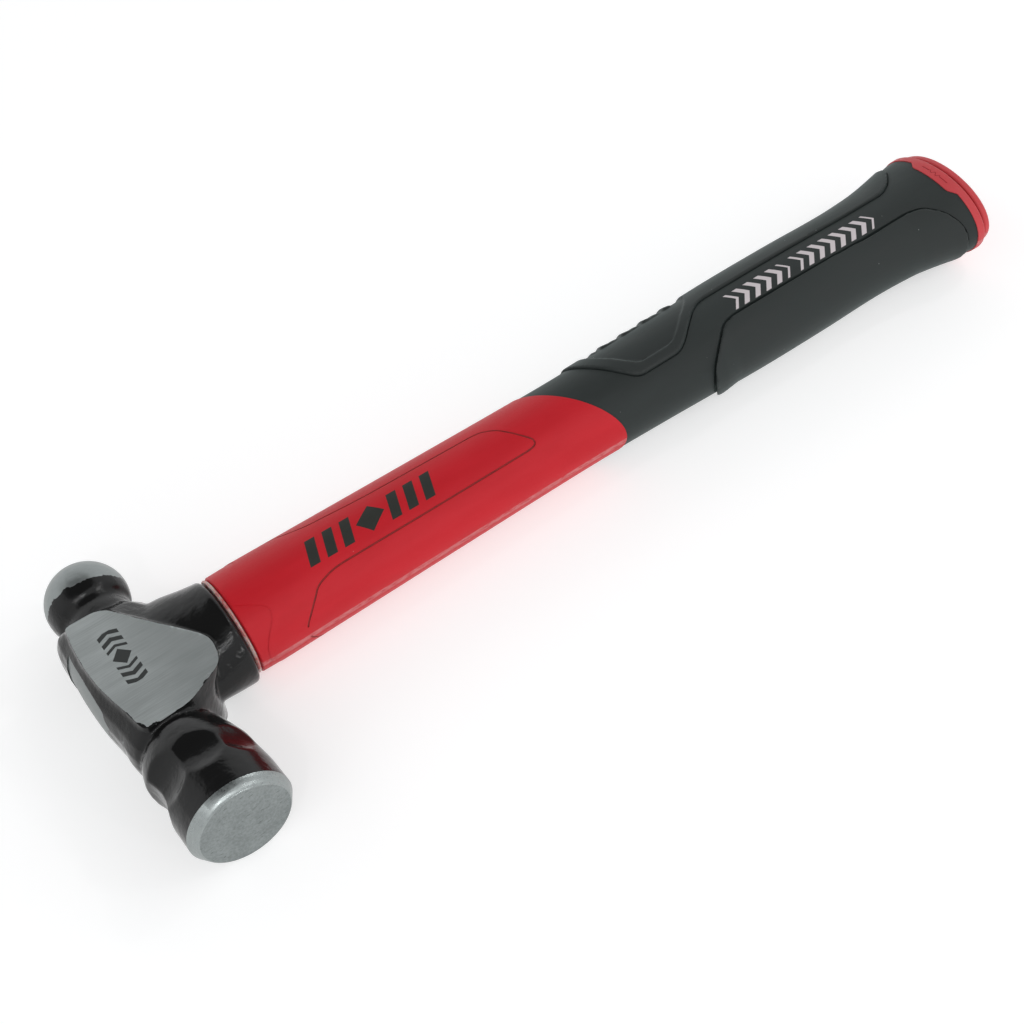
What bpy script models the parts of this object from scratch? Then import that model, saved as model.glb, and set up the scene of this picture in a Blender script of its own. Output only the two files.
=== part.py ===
"""Ball peen hammer, 24 oz, lying on its side.

Working axes: X runs from the head along the handle to the butt, Y points to the ball peen and
the striking face looks along -Y, Z is up. The axis of the handle socket and the axis of the
face and ball cross at the working origin. An empty moves the whole hammer, so that the part's
own origin is below its middle, on the floor it lies on. Metres.
"""

from math import cos, pi, radians, sin, sqrt

import bmesh
import bpy
from mathutils import Matrix, Vector

MM = 0.001
GAP = 0.3 * MM

# Striking end, turned about Y
FACE_Y = -59.1 * MM
FACE_RADIUS = 16.0 * MM
FACE_FLAT_RADIUS = 13.8 * MM
FACE_CHAMFER = 3.2 * MM
NECK_RING_Y = -30.5 * MM
NECK_RING_RADIUS = 14.2 * MM
NECK_SHIFT_X = -1.6 * MM
SCOOP_COUNT = 8
SCOOP_RADIUS = 14.0 * MM
SCOOP_DEPTH = 1.9 * MM
SCOOP_Y = -41.0 * MM

# Ball end, turned about Y
BALL_Y = 37.9 * MM
BALL_RADIUS = 12.9 * MM
BALL_NECK_RADIUS = 10.0 * MM
BALL_NECK_Y = 29.5 * MM

# Body between the two ends. Each outline is a loop of corners in X and Y. The cheeks are ground
# by hand, so the lower one comes out a little smaller.
CHEEK_Z = 13.4 * MM
UPPER_CHEEK = (
    (-11.0, 22.3),
    (0.6, 22.0),
    (20.6, -8.5),
    (18.6, -18.0),
    (5.5, -24.3),
    (-8.8, -24.6),
    (-10.6, -13.0),
    (-12.5, -5.0),
    (-12.7, 8.0),
)
LOWER_CHEEK = (
    (-11.0, 22.3),
    (0.6, 22.0),
    (17.6, -6.5),
    (15.4, -16.0),
    (4.0, -22.6),
    (-8.8, -24.0),
    (-10.6, -13.0),
    (-12.5, -5.0),
    (-12.7, 8.0),
)
WAIST = (
    (-15.1, 27.2),
    (11.5, 26.6),
    (21.5, 12.0),
    (14.4, -19.5),
    (7.0, -25.8),
    (-14.9, -27.0),
    (-16.7, -14.0),
    (-17.8, -2.0),
    (-17.2, 12.0),
)
BODY_LEVELS = ((1.0, 0.0), (0.86, 0.4), (0.62, 0.74), (0.34, 0.93), (0.0, 1.0))
CORNER_ROUND = 3.0 * MM
CORNER_STEPS = 2

# Barrel that takes the handle: distance from the head's axis, middle in Y, half width in Y and
# half height in Z
SOCKET_Y = 0.7 * MM
BARREL = (
    (-4.0, 1.5, 19.0, 12.2),
    (8.0, 2.5, 20.5, 12.6),
    (16.0, 2.3, 20.3, 13.2),
    (22.0, 1.3, 19.0, 14.6),
    (27.3, 0.7, 17.9, 15.9),
    (28.4, 0.7, 17.0, 15.0),
)
SOCKET_BOTTOM_X = -8.0 * MM
SOCKET_HALF_Y = 13.2 * MM
SOCKET_HALF_Z = 10.2 * MM
SOCKET_MOUTH_HALF_Y = 14.6 * MM
SOCKET_MOUTH_HALF_Z = 11.8 * MM

# Handle, built along its own X axis and then set a little out of square, as it was bonded
HANDLE_SHIFT_Y = 1.9 * MM
HANDLE_LEAN = radians(-0.52)
CORE_START_X = -6.5 * MM
CORE_END_X = 296.0 * MM
CORE_HALF_Y = 10.0 * MM
CORE_HALF_Z = 7.5 * MM
BEAD_START_X = 28.7 * MM
JACKET_START_X = 30.2 * MM

# Half width, half height of the finished handle at distances from the head's axis
HANDLE_PROFILE = (
    (29.0, 16.9, 14.9),
    (36.0, 17.1, 14.9),
    (60.0, 16.8, 14.6),
    (100.0, 16.4, 13.9),
    (150.0, 15.9, 13.5),
    (176.0, 16.4, 13.7),
    (200.0, 17.1, 14.2),
    (220.0, 17.7, 14.5),
    (245.0, 17.7, 14.5),
    (268.0, 17.5, 13.9),
    (284.0, 18.6, 13.9),
    (296.0, 20.6, 14.2),
    (304.0, 22.6, 14.6),
    (312.0, 22.9, 14.7),
)
COLOUR_JOIN_X = 150.4 * MM
COLOUR_JOIN_SLOPE = -0.785
GRIP_WALL = 2.6 * MM
JACKET_STEP = 0.35 * MM
GRIP_END_X = 305.4 * MM
FLANGE_END_X = 308.6 * MM
PLATE_START_X = 309.6 * MM
PLATE_END_X = 312.6 * MM
PLATE_HALF_Y = 21.3 * MM
PLATE_HALF_Z = 13.6 * MM
PLUG_LENGTH = 10.0 * MM
PLUG_HALF_Y = 9.5 * MM
PLUG_HALF_Z = 7.0 * MM

# Tab of the flange that reaches into the grip on its upper side, in millimetres
TAB_LENGTH = 2.2
TAB_START_Y = -8.0
TAB_END_Y = 6.5

# Pads let into the grip, as outlines in X and Y, which run out past the handle's side
PAD_DEPTH = 1.3 * MM
PAD_RISE = 0.9 * MM
PAD_GROOVE = 0.7 * MM
PALM_OUTLINE = (
    (197.2, -26.0),
    (197.2, -17.0),
    (203.5, -12.5),
    (208.4, -8.6),
    (213.0, -7.3),
    (288.0, -8.5),
    (293.5, -11.0),
    (297.5, -15.5),
    (300.5, -21.0),
    (300.5, -26.0),
)
THUMB_OUTLINE = (
    (161.0, 26.0),
    (161.0, 12.5),
    (163.9, 6.3),
    (171.6, -4.3),
    (176.0, -7.7),
    (190.6, -7.6),
    (194.0, -6.2),
    (204.8, 2.5),
    (209.0, 4.3),
    (281.0, 4.0),
    (287.0, 5.0),
    (292.0, 9.2),
    (296.0, 15.0),
    (296.0, 26.0),
)
RIB_START_X = 176.0 * MM
RIB_PITCH = 4.2 * MM
RIB_COUNT = 8
RIB_DEPTH = 0.7 * MM

AROUND = 40
TURNED = 40


def add_material(name, colour, roughness, metallic):
    """Makes a Principled BSDF material."""
    material = bpy.data.materials.new(name)
    material.use_nodes = True
    shader = material.node_tree.nodes["Principled BSDF"]
    shader.inputs["Base Color"].default_value = (*colour, 1.0)
    shader.inputs["Roughness"].default_value = roughness
    shader.inputs["Metallic"].default_value = metallic
    return material


def add_object(name, bm, material, parent):
    """Closes the bmesh into a named object with its material, shaded smooth with sharp edges."""
    bmesh.ops.recalc_face_normals(bm, faces=bm.faces)
    mesh = bpy.data.meshes.new(name)
    bm.to_mesh(mesh)
    bm.free()
    mesh.materials.append(material)
    mesh.shade_smooth()
    mesh.set_sharp_from_angle(angle=radians(32))
    obj = bpy.data.objects.new(name, mesh)
    bpy.context.scene.collection.objects.link(obj)
    obj.parent = parent
    return obj


def hide_cutter(obj):
    """Leaves a cutter out of the render and draws it as wires."""
    obj.hide_render = True
    obj.display_type = "WIRE"
    return obj


def add_boolean(obj, other, operation):
    """Adds an exact Boolean with another object, which is then only a helper."""
    modifier = obj.modifiers.new(operation.lower() + "_" + other.name, "BOOLEAN")
    modifier.object = other
    modifier.operation = operation
    modifier.solver = "EXACT"
    hide_cutter(other)


def profile_at(table, x):
    """Half width and half height of a table of stations at one distance, in metres."""
    place = x / MM
    if place <= table[0][0]:
        return table[0][1] * MM, table[0][2] * MM
    for before, after in zip(table, table[1:]):
        if place <= after[0]:
            share = (place - before[0]) / (after[0] - before[0])
            half_y = before[1] + (after[1] - before[1]) * share
            half_z = before[2] + (after[2] - before[2]) * share
            return half_y * MM, half_z * MM
    return table[-1][1] * MM, table[-1][2] * MM


def oval_loop(bm, x, half_y, half_z, centre_y=0.0, capped=False):
    """Adds one oval ring of vertices across X and gives its edges."""
    turn = Matrix.Rotation(pi / 2, 4, "Y")
    made = bmesh.ops.create_circle(bm, cap_ends=capped, segments=AROUND, radius=1.0, matrix=turn)
    for vert in made["verts"]:
        vert.co = Vector((x, centre_y + vert.co.y * half_y, vert.co.z * half_z))
    ring = set(made["verts"])
    return [edge for edge in bm.edges if edge.verts[0] in ring and edge.verts[1] in ring]


def loft(sections):
    """Skins ovals into a closed bmesh.

    Each is given as distance, half width and half height, and its middle in Y where it has one.
    """
    bm = bmesh.new()
    previous = None
    last = len(sections) - 1
    for number, (x, half_y, half_z, *middle) in enumerate(sections):
        centre_y = middle[0] if middle else 0.0
        ring = oval_loop(bm, x, half_y, half_z, centre_y, capped=number in (0, last))
        if previous is not None:
            bmesh.ops.bridge_loops(bm, edges=previous + ring)
        previous = ring
    return bm


def handle_sections(start, end, offset, count):
    """Sections of the handle's outer shape, moved in or out by an offset."""
    sections = []
    for number in range(count):
        x = start + (end - start) * number / (count - 1)
        half_y, half_z = profile_at(HANDLE_PROFILE, x)
        sections.append((x, half_y + offset, half_z + offset))
    return sections


def turned_about_y(profile):
    """Spins a profile of (distance along Y, radius) pairs, both ends on the axis."""
    bm = bmesh.new()
    verts = [bm.verts.new((radius, y, 0.0)) for y, radius in profile]
    edges = [bm.edges.new(pair) for pair in zip(verts, verts[1:])]
    bmesh.ops.spin(
        bm,
        geom=verts + edges,
        axis=(0, 1, 0),
        cent=(0, 0, 0),
        angle=2 * pi,
        steps=TURNED,
        use_merge=True,
    )
    bmesh.ops.remove_doubles(bm, verts=bm.verts, dist=1e-6)
    return bm


def prism(outline, low_z, high_z):
    """Extrudes an outline of X and Y corners, in millimetres, between two heights."""
    bm = bmesh.new()
    verts = [bm.verts.new((x * MM, y * MM, low_z)) for x, y in outline]
    face = bm.faces.new(verts)
    moved = bmesh.ops.extrude_face_region(bm, geom=[face])
    top = [item for item in moved["geom"] if isinstance(item, bmesh.types.BMVert)]
    bmesh.ops.translate(bm, verts=top, vec=(0, 0, high_z - low_z))
    return bm


def widened(outline, by):
    """Moves each corner of an outline outwards by a distance in metres, along its own normal."""
    moved = []
    size = len(outline)
    area = sum(
        outline[i][0] * outline[(i + 1) % size][1] - outline[(i + 1) % size][0] * outline[i][1]
        for i in range(size)
    )
    side = 1.0 if area > 0 else -1.0
    for i in range(size):
        before, here, after = outline[i - 1], outline[i], outline[(i + 1) % size]
        first = Vector((here[0] - before[0], here[1] - before[1])).normalized()
        second = Vector((after[0] - here[0], after[1] - here[1])).normalized()
        normal = Vector((first.y + second.y, -first.x - second.x)).normalized() * side
        stretch = 1.0 / max(0.5, sqrt((1.0 + first.dot(second)) / 2.0))
        moved.append((here[0] + normal.x * by / MM * stretch, here[1] + normal.y * by / MM * stretch))
    return tuple(moved)


def head_turned(parent, material):
    """Face, neck ring, ball neck and ball, turned about Y as one solid."""
    chamfer_y = FACE_Y + FACE_CHAMFER
    profile = [
        (FACE_Y, 0.0),
        (FACE_Y, FACE_FLAT_RADIUS),
        (chamfer_y, FACE_RADIUS),
        (NECK_RING_Y - 7.0 * MM, FACE_RADIUS),
        (NECK_RING_Y - 3.0 * MM, NECK_RING_RADIUS + 1.0 * MM),
        (NECK_RING_Y, NECK_RING_RADIUS),
        (NECK_RING_Y + 2.5 * MM, NECK_RING_RADIUS - 2.0 * MM),
        (NECK_RING_Y + 8.0 * MM, 10.5 * MM),
        (20.0 * MM, 10.5 * MM),
        (BALL_NECK_Y - 3.0 * MM, BALL_NECK_RADIUS + 0.6 * MM),
        (BALL_NECK_Y, BALL_NECK_RADIUS),
        (BALL_NECK_Y + 2.0 * MM, BALL_NECK_RADIUS + 0.5 * MM),
    ]
    start = radians(108)
    steps = 12
    for number in range(steps + 1):
        angle = start * (1 - number / steps)
        profile.append((BALL_Y + BALL_RADIUS * cos(angle), BALL_RADIUS * sin(angle)))
    profile[-1] = (BALL_Y + BALL_RADIUS, 0.0)
    bm = turned_about_y(profile)
    for vert in bm.verts:
        if NECK_RING_Y - 4.0 * MM < vert.co.y < 0.0:
            vert.co.x += NECK_SHIFT_X
    return add_object("head_ends", bm, material, parent)


def cut_scoops(target, parent, material):
    """Mills the hollows around the neck, each with a round cutter across the axis."""
    reach = FACE_RADIUS - SCOOP_DEPTH + SCOOP_RADIUS
    for number in range(SCOOP_COUNT):
        angle = 2 * pi * number / SCOOP_COUNT
        bm = bmesh.new()
        bmesh.ops.create_cone(
            bm,
            cap_ends=True,
            segments=40,
            radius1=SCOOP_RADIUS,
            radius2=SCOOP_RADIUS,
            depth=30.0 * MM,
            matrix=Matrix.Rotation(angle, 4, "Y") @ Matrix.Translation((reach, SCOOP_Y, 0)),
        )
        cutter = add_object("scoop_" + str(number), bm, material, parent)
        add_boolean(target, cutter, "DIFFERENCE")


def rounded(outline, cut, steps):
    """Replaces each corner of an outline by a curve that starts and ends a cut away from it."""
    points = []
    for number, here in enumerate(outline):
        corner = Vector(here)
        before = Vector(outline[number - 1])
        after = Vector(outline[(number + 1) % len(outline)])
        start = corner + (before - corner).normalized() * cut
        end = corner + (after - corner).normalized() * cut
        for step in range(steps + 1):
            share = step / steps
            points.append(start.lerp(corner, share).lerp(corner.lerp(end, share), share))
    return points


def head_body(parent, material):
    """The body, skinned from the ground cheek down to the full waist and up to the other cheek."""
    levels = [(share * CHEEK_Z, mix) for share, mix in BODY_LEVELS]
    levels += [(-z, mix) for z, mix in reversed(levels[:-1])]
    upper = rounded(UPPER_CHEEK, CORNER_ROUND / MM, CORNER_STEPS)
    lower = rounded(LOWER_CHEEK, CORNER_ROUND / MM, CORNER_STEPS)
    waist = rounded(WAIST, CORNER_ROUND / MM, CORNER_STEPS)
    bm = bmesh.new()
    previous = None
    for number, (z, mix) in enumerate(levels):
        verts = []
        for small, large in zip(upper if z > 0 else lower, waist):
            x, y = small.lerp(large, mix)
            verts.append(bm.verts.new((x * MM, y * MM, z)))
        ring = [bm.edges.new((verts[i - 1], verts[i])) for i in range(len(verts))]
        if number in (0, len(levels) - 1):
            bm.faces.new(verts)
        if previous is not None:
            bmesh.ops.bridge_loops(bm, edges=previous + ring)
        previous = ring
    return add_object("head_body", bm, material, parent)


def build_head(parent, material):
    """One forging: both turned ends, the body and the barrel, with a blind socket for the handle."""
    barrel = loft([(x * MM, half_y * MM, half_z * MM, y * MM) for x, y, half_y, half_z in BARREL])
    head = add_object("head", barrel, material, parent)
    body = head_body(parent, material)
    ends = head_turned(parent, material)
    cut_scoops(ends, parent, material)
    add_boolean(head, body, "UNION")
    add_boolean(head, ends, "UNION")
    mouth_x = BARREL[-1][0] * MM
    socket = loft(
        [
            (SOCKET_BOTTOM_X, SOCKET_HALF_Y, SOCKET_HALF_Z, SOCKET_Y),
            (mouth_x - 5.0 * MM, SOCKET_MOUTH_HALF_Y, SOCKET_MOUTH_HALF_Z, SOCKET_Y),
            (mouth_x + 2.0 * MM, SOCKET_MOUTH_HALF_Y, SOCKET_MOUTH_HALF_Z, SOCKET_Y),
        ]
    )
    add_boolean(head, add_object("socket", socket, material, parent), "DIFFERENCE")
    return head


def build_resin(parent, handle, material):
    """Resin cast in the socket around the core, a cup whose brim stands at the barrel's mouth."""
    mouth_x = BARREL[-1][0] * MM
    sections = [
        (SOCKET_BOTTOM_X + GAP, SOCKET_HALF_Y - GAP, SOCKET_HALF_Z - GAP, SOCKET_Y),
        (mouth_x - 5.0 * MM, SOCKET_MOUTH_HALF_Y - GAP, SOCKET_MOUTH_HALF_Z - GAP, SOCKET_Y),
        (mouth_x - GAP, SOCKET_MOUTH_HALF_Y - GAP, SOCKET_MOUTH_HALF_Z - GAP, SOCKET_Y),
    ]
    resin = add_object("socket_resin", loft(sections), material, parent)
    bore = [
        (CORE_START_X - GAP, CORE_HALF_Y + GAP, CORE_HALF_Z + GAP),
        (mouth_x + 5.0 * MM, CORE_HALF_Y + GAP, CORE_HALF_Z + GAP),
    ]
    add_boolean(resin, add_object("core_room", loft(bore), material, handle), "DIFFERENCE")
    return resin


def tube(name, sections, bore, parent, material):
    """A skinned oval solid with an oval hole of one size right through it."""
    obj = add_object(name, loft(sections), material, parent)
    half_y, half_z = bore
    cutter = loft(
        [
            (sections[0][0] - 5.0 * MM, half_y, half_z),
            (sections[-1][0] + 5.0 * MM, half_y, half_z),
        ]
    )
    add_boolean(obj, add_object(name + "_bore", cutter, material, parent), "DIFFERENCE")
    return obj


def join_block(name, shift, parent, material):
    """A large block that fills all of the handle on the butt's side of the slanted colour join."""
    far_x = (FLANGE_END_X + 40.0 * MM) / MM
    reach = 40.0
    base = (COLOUR_JOIN_X + shift) / MM
    outline = (
        (base - COLOUR_JOIN_SLOPE * reach, -reach),
        (far_x, -reach),
        (far_x, reach),
        (base + COLOUR_JOIN_SLOPE * reach, reach),
    )
    return add_object(name, prism(outline, -reach * MM, reach * MM), material, parent)


def grip_recess(name, shift, inset, parent, material):
    """The room that the grip takes from the jacket: a shell behind the slanted join."""
    block = join_block(name, shift, parent, material)
    keep = add_object(
        name + "_keep",
        loft(handle_sections(COLOUR_JOIN_X - 50.0 * MM, FLANGE_END_X + 60.0 * MM, -inset, 16)),
        material,
        parent,
    )
    add_boolean(block, keep, "DIFFERENCE")
    end = prism(
        (
            (GRIP_END_X / MM, -60.0),
            (GRIP_END_X / MM + 80.0, -60.0),
            (GRIP_END_X / MM + 80.0, 60.0),
            (GRIP_END_X / MM, 60.0),
        ),
        -60.0 * MM,
        60.0 * MM,
    )
    add_boolean(block, add_object(name + "_end", end, material, parent), "DIFFERENCE")
    tab = prism(
        (
            (GRIP_END_X / MM - TAB_LENGTH, TAB_START_Y),
            (GRIP_END_X / MM + 5.0, TAB_START_Y - 10.0),
            (GRIP_END_X / MM + 5.0, TAB_END_Y + 10.0),
            (GRIP_END_X / MM - TAB_LENGTH, TAB_END_Y),
        ),
        0.0,
        60.0 * MM,
    )
    add_boolean(block, add_object(name + "_tab", tab, material, parent), "DIFFERENCE")
    return block


def build_jacket(parent, material):
    """Red jacket moulded over the core from the barrel to the butt's flange, thinner under the grip."""
    sections = handle_sections(JACKET_START_X, FLANGE_END_X, 0.0, 24)
    rim = sections[0]
    sections[0] = (rim[0], rim[1] - 0.5 * MM, rim[2] - 0.5 * MM)
    sections.insert(1, (rim[0] + 0.6 * MM, rim[1], rim[2]))
    last = sections[-1]
    sections.insert(-1, (last[0] - 0.8 * MM, last[1], last[2]))
    sections[-1] = (last[0], last[1] - 0.8 * MM, last[2] - 0.8 * MM)
    bore = (CORE_HALF_Y + GAP, CORE_HALF_Z + GAP)
    jacket = tube("jacket", sections, bore, parent, material)
    recess = grip_recess("grip_room", 0.0, GRIP_WALL + GAP, parent, material)
    add_boolean(jacket, recess, "DIFFERENCE")
    return jacket


def pad_shell(name, outline, low, high, parent, material):
    """The part of a shell under the handle's skin that lies inside an outline."""
    start = outline[0][0] * MM - 25.0 * MM
    end = outline[-1][0] * MM + 25.0 * MM
    shell = add_object(name, loft(handle_sections(start, end, high, 15)), material, parent)
    inside = loft(handle_sections(start - 5.0 * MM, end + 5.0 * MM, low, 15))
    add_boolean(shell, add_object(name + "_inside", inside, material, parent), "DIFFERENCE")
    block = prism(outline, -40.0 * MM, 40.0 * MM)
    add_boolean(shell, add_object(name + "_outline", block, material, parent), "INTERSECT")
    return shell


def build_grip(parent, material):
    """Black sleeve over the jacket, with rooms for the two pads."""
    sections = handle_sections(COLOUR_JOIN_X - 25.0 * MM, GRIP_END_X + 10.0 * MM, -JACKET_STEP, 19)
    grip = add_object("grip_sleeve", loft(sections), material, parent)
    room = grip_recess("grip_shape", GAP, GRIP_WALL, parent, material)
    add_boolean(grip, room, "INTERSECT")
    for name, outline in (("palm_room", PALM_OUTLINE), ("thumb_room", THUMB_OUTLINE)):
        wide = widened(outline, PAD_GROOVE)
        cutter = pad_shell(name, wide, -JACKET_STEP - PAD_DEPTH, 5.0 * MM, parent, material)
        add_boolean(grip, cutter, "DIFFERENCE")
    return grip


def build_pad(name, outline, parent, material):
    """A soft pad in its room in the grip, standing a little proud of it."""
    low = -JACKET_STEP - PAD_DEPTH + GAP
    return pad_shell(name, outline, low, PAD_RISE - JACKET_STEP, parent, material)


def cut_ribs(pad, parent, material):
    """Cuts slanting steps across the thumb pad's peen side."""
    bm = bmesh.new()
    for number in range(RIB_COUNT):
        x = RIB_START_X + number * RIB_PITCH
        half_y, _ = profile_at(HANDLE_PROFILE, x)
        skin = half_y + PAD_RISE - JACKET_STEP
        corners = ((x, skin - RIB_DEPTH), (x, skin + 4 * MM), (x + RIB_PITCH * 0.55, skin + 4 * MM))
        verts = [bm.verts.new((cx, cy, -9.0 * MM)) for cx, cy in corners]
        face = bm.faces.new(verts)
        moved = bmesh.ops.extrude_face_region(bm, geom=[face])
        top = [item for item in moved["geom"] if isinstance(item, bmesh.types.BMVert)]
        bmesh.ops.translate(bm, verts=top, vec=(0, 0, 18.0 * MM))
    add_boolean(pad, add_object("rib_cuts", bm, material, parent), "DIFFERENCE")


def build_plug(parent, material):
    """End plate of the butt with the plug that holds it in the jacket's bore."""
    sections = [
        (PLATE_START_X - PLUG_LENGTH, PLUG_HALF_Y, PLUG_HALF_Z),
        (FLANGE_END_X + GAP, PLUG_HALF_Y, PLUG_HALF_Z),
        (FLANGE_END_X + GAP + 0.1 * MM, PLATE_HALF_Y - 1.2 * MM, PLATE_HALF_Z - 1.2 * MM),
        (PLATE_START_X, PLATE_HALF_Y - 1.2 * MM, PLATE_HALF_Z - 1.2 * MM),
        (PLATE_START_X + 0.6 * MM, PLATE_HALF_Y, PLATE_HALF_Z),
        (PLATE_END_X - 1.2 * MM, PLATE_HALF_Y, PLATE_HALF_Z),
        (PLATE_END_X - 0.3 * MM, PLATE_HALF_Y - 0.6 * MM, PLATE_HALF_Z - 0.6 * MM),
        (PLATE_END_X, PLATE_HALF_Y - 1.6 * MM, PLATE_HALF_Z - 1.6 * MM),
    ]
    return add_object("butt_plug", loft(sections), material, parent)


def main():
    """Clears the scene and builds the hammer."""
    for obj in list(bpy.data.objects):
        bpy.data.objects.remove(obj)

    steel = add_material("forged_steel", (0.22, 0.24, 0.235), 0.38, 1.0)
    red = add_material("red_plastic", (0.50, 0.03, 0.035), 0.45, 0.0)
    black = add_material("black_grip", (0.03, 0.036, 0.034), 0.62, 0.0)
    pad_black = add_material("black_pad", (0.026, 0.031, 0.03), 0.7, 0.0)
    carbon = add_material("core_composite", (0.06, 0.06, 0.055), 0.5, 0.0)
    amber = add_material("cast_resin", (0.62, 0.50, 0.42), 0.35, 0.0)

    root = bpy.data.objects.new("hammer_frame", None)
    bpy.context.scene.collection.objects.link(root)
    crown_x = min(x for x, _ in WAIST) * MM
    middle_x = (crown_x + PLATE_END_X) / 2
    middle_y = (FACE_Y + BALL_Y + BALL_RADIUS) / 2
    root.location = (-middle_x, -middle_y, FACE_RADIUS)

    handle = bpy.data.objects.new("handle_axis", None)
    bpy.context.scene.collection.objects.link(handle)
    handle.parent = root
    handle.location = (0, HANDLE_SHIFT_Y, 0)
    handle.rotation_euler = (0, 0, HANDLE_LEAN)

    build_head(root, steel)
    build_resin(root, handle, amber)

    core = [
        (CORE_START_X, CORE_HALF_Y, CORE_HALF_Z),
        (CORE_END_X, CORE_HALF_Y, CORE_HALF_Z),
    ]
    add_object("core_rod", loft(core), carbon, handle)

    half_y, half_z = profile_at(HANDLE_PROFILE, BEAD_START_X)
    bead_end_x = JACKET_START_X - GAP
    bead = [
        (BEAD_START_X, half_y - 1.4 * MM, half_z - 1.4 * MM),
        ((BEAD_START_X + bead_end_x) / 2, half_y - 0.7 * MM, half_z - 0.7 * MM),
        (bead_end_x, half_y - 0.9 * MM, half_z - 0.9 * MM),
    ]
    tube("resin_bead", bead, (CORE_HALF_Y + GAP, CORE_HALF_Z + GAP), handle, amber)

    build_jacket(handle, red)
    build_grip(handle, black)
    build_pad("palm_pad", PALM_OUTLINE, handle, pad_black)
    thumb = build_pad("thumb_pad", THUMB_OUTLINE, handle, pad_black)
    cut_ribs(thumb, handle, pad_black)
    build_plug(handle, red)


main()
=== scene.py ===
"""Ball peen hammer with a moulded handle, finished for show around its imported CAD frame.

Shapes are made in millimetres from the middle of the head, with X along the handle, Y towards
the ball and Z up, and are moved into the frame, in metres, as the last step of each piece.
"""

import logging
from collections.abc import Callable, Iterable, Iterator, Sequence
from dataclasses import dataclass
from enum import Enum
from math import cos, hypot, pi, radians, sin, sqrt

import bmesh
import bpy
from mathutils import Matrix, Vector
from mathutils.kdtree import KDTree


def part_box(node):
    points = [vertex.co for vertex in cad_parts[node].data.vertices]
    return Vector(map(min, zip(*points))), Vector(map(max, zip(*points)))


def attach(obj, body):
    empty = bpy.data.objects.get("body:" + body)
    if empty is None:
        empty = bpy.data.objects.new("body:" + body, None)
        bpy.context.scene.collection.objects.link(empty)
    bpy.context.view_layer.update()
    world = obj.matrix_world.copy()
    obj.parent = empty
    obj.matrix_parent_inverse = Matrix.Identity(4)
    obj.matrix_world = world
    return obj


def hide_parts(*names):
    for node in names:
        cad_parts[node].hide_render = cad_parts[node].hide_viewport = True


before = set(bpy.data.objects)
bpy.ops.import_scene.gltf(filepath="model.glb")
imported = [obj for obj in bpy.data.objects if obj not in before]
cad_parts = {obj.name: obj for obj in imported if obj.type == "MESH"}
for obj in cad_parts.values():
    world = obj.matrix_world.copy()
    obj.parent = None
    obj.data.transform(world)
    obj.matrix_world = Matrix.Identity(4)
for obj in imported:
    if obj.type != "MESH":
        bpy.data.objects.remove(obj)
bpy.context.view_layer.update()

LOG = logging.getLogger("hammer")
MM = 0.001
BODY = "root"

# Points round the ovals of the handle, round the head's turned shapes and round a bore.
MOULDED = 144
FORGED = 128
BORED = 64
MERGE = 1e-4

# Places of the barrel's mouth and of the striking face, from the middle of the head.
MOUTH_X = 28.4
FACE_Y = -59.1

# Heights between which a mark on the handle's upper side fades in, in millimetres.
UPPER_SIDE = (4.0, 5.0)

Point = tuple[float, float]
Colour = tuple[float, float, float]
Vector3 = tuple[float, float, float]
Socket = bpy.types.NodeSocket


class Slot(Enum):
    """Material slots of the record, one for each kind of piece."""

    STEEL = "head_steel"
    RESIN = "resin"
    RED = "jacket_red"
    GRIP = "grip_black"
    PAD = "pad_black"


class Cut(Enum):
    """How one solid works on another."""

    TAKE = "DIFFERENCE"
    KEEP = "INTERSECT"


# ---------------------------------------------------------------- Placing


@dataclass(frozen=True)
class Placement:
    """Turns the millimetre shapes into places in the frame.

    Attributes:
        origin: Middle of the head's turned axis, in metres.
        shift: How far the handle sits towards the ball, in millimetres.
        lean: How far the handle leans, in radians.
    """

    origin: Vector
    shift: float = 1.9
    lean: float = radians(-0.52)

    @classmethod
    def from_head(cls, mouth_x: float, face_y: float) -> "Placement":
        """Finds the origin from the CAD head's box.

        Args:
            mouth_x: Distance of the barrel's mouth from the head's axis.
            face_y: Place of the striking face along Y.

        Returns:
            The placement.
        """
        low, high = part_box("head")
        middle_z = (low.z + high.z) / 2
        return cls(Vector((high.x - mouth_x * MM, low.y - face_y * MM, middle_z)))

    def head(self) -> Matrix:
        """Matrix that places the head's shapes."""
        return Matrix.Translation(self.origin) @ Matrix.Scale(MM, 4)

    def handle(self) -> Matrix:
        """Matrix that places the handle's shapes."""
        lean = Matrix.Rotation(self.lean, 4, "Z")
        return self.head() @ Matrix.Translation((0.0, self.shift, 0.0)) @ lean


# ---------------------------------------------------------------- Shaping


@dataclass(frozen=True)
class Section:
    """One oval across X.

    Attributes:
        x: Its distance along X.
        half_y: Half its width.
        half_z: Half its height.
        middle_y: Its middle in Y.
    """

    x: float
    half_y: float
    half_z: float
    middle_y: float = 0.0

    def grown(self, by: float, x: float | None = None) -> "Section":
        """Gives the oval grown by a distance, at another X if one is given."""
        place = self.x if x is None else x
        return Section(place, self.half_y + by, self.half_z + by, self.middle_y)


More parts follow.
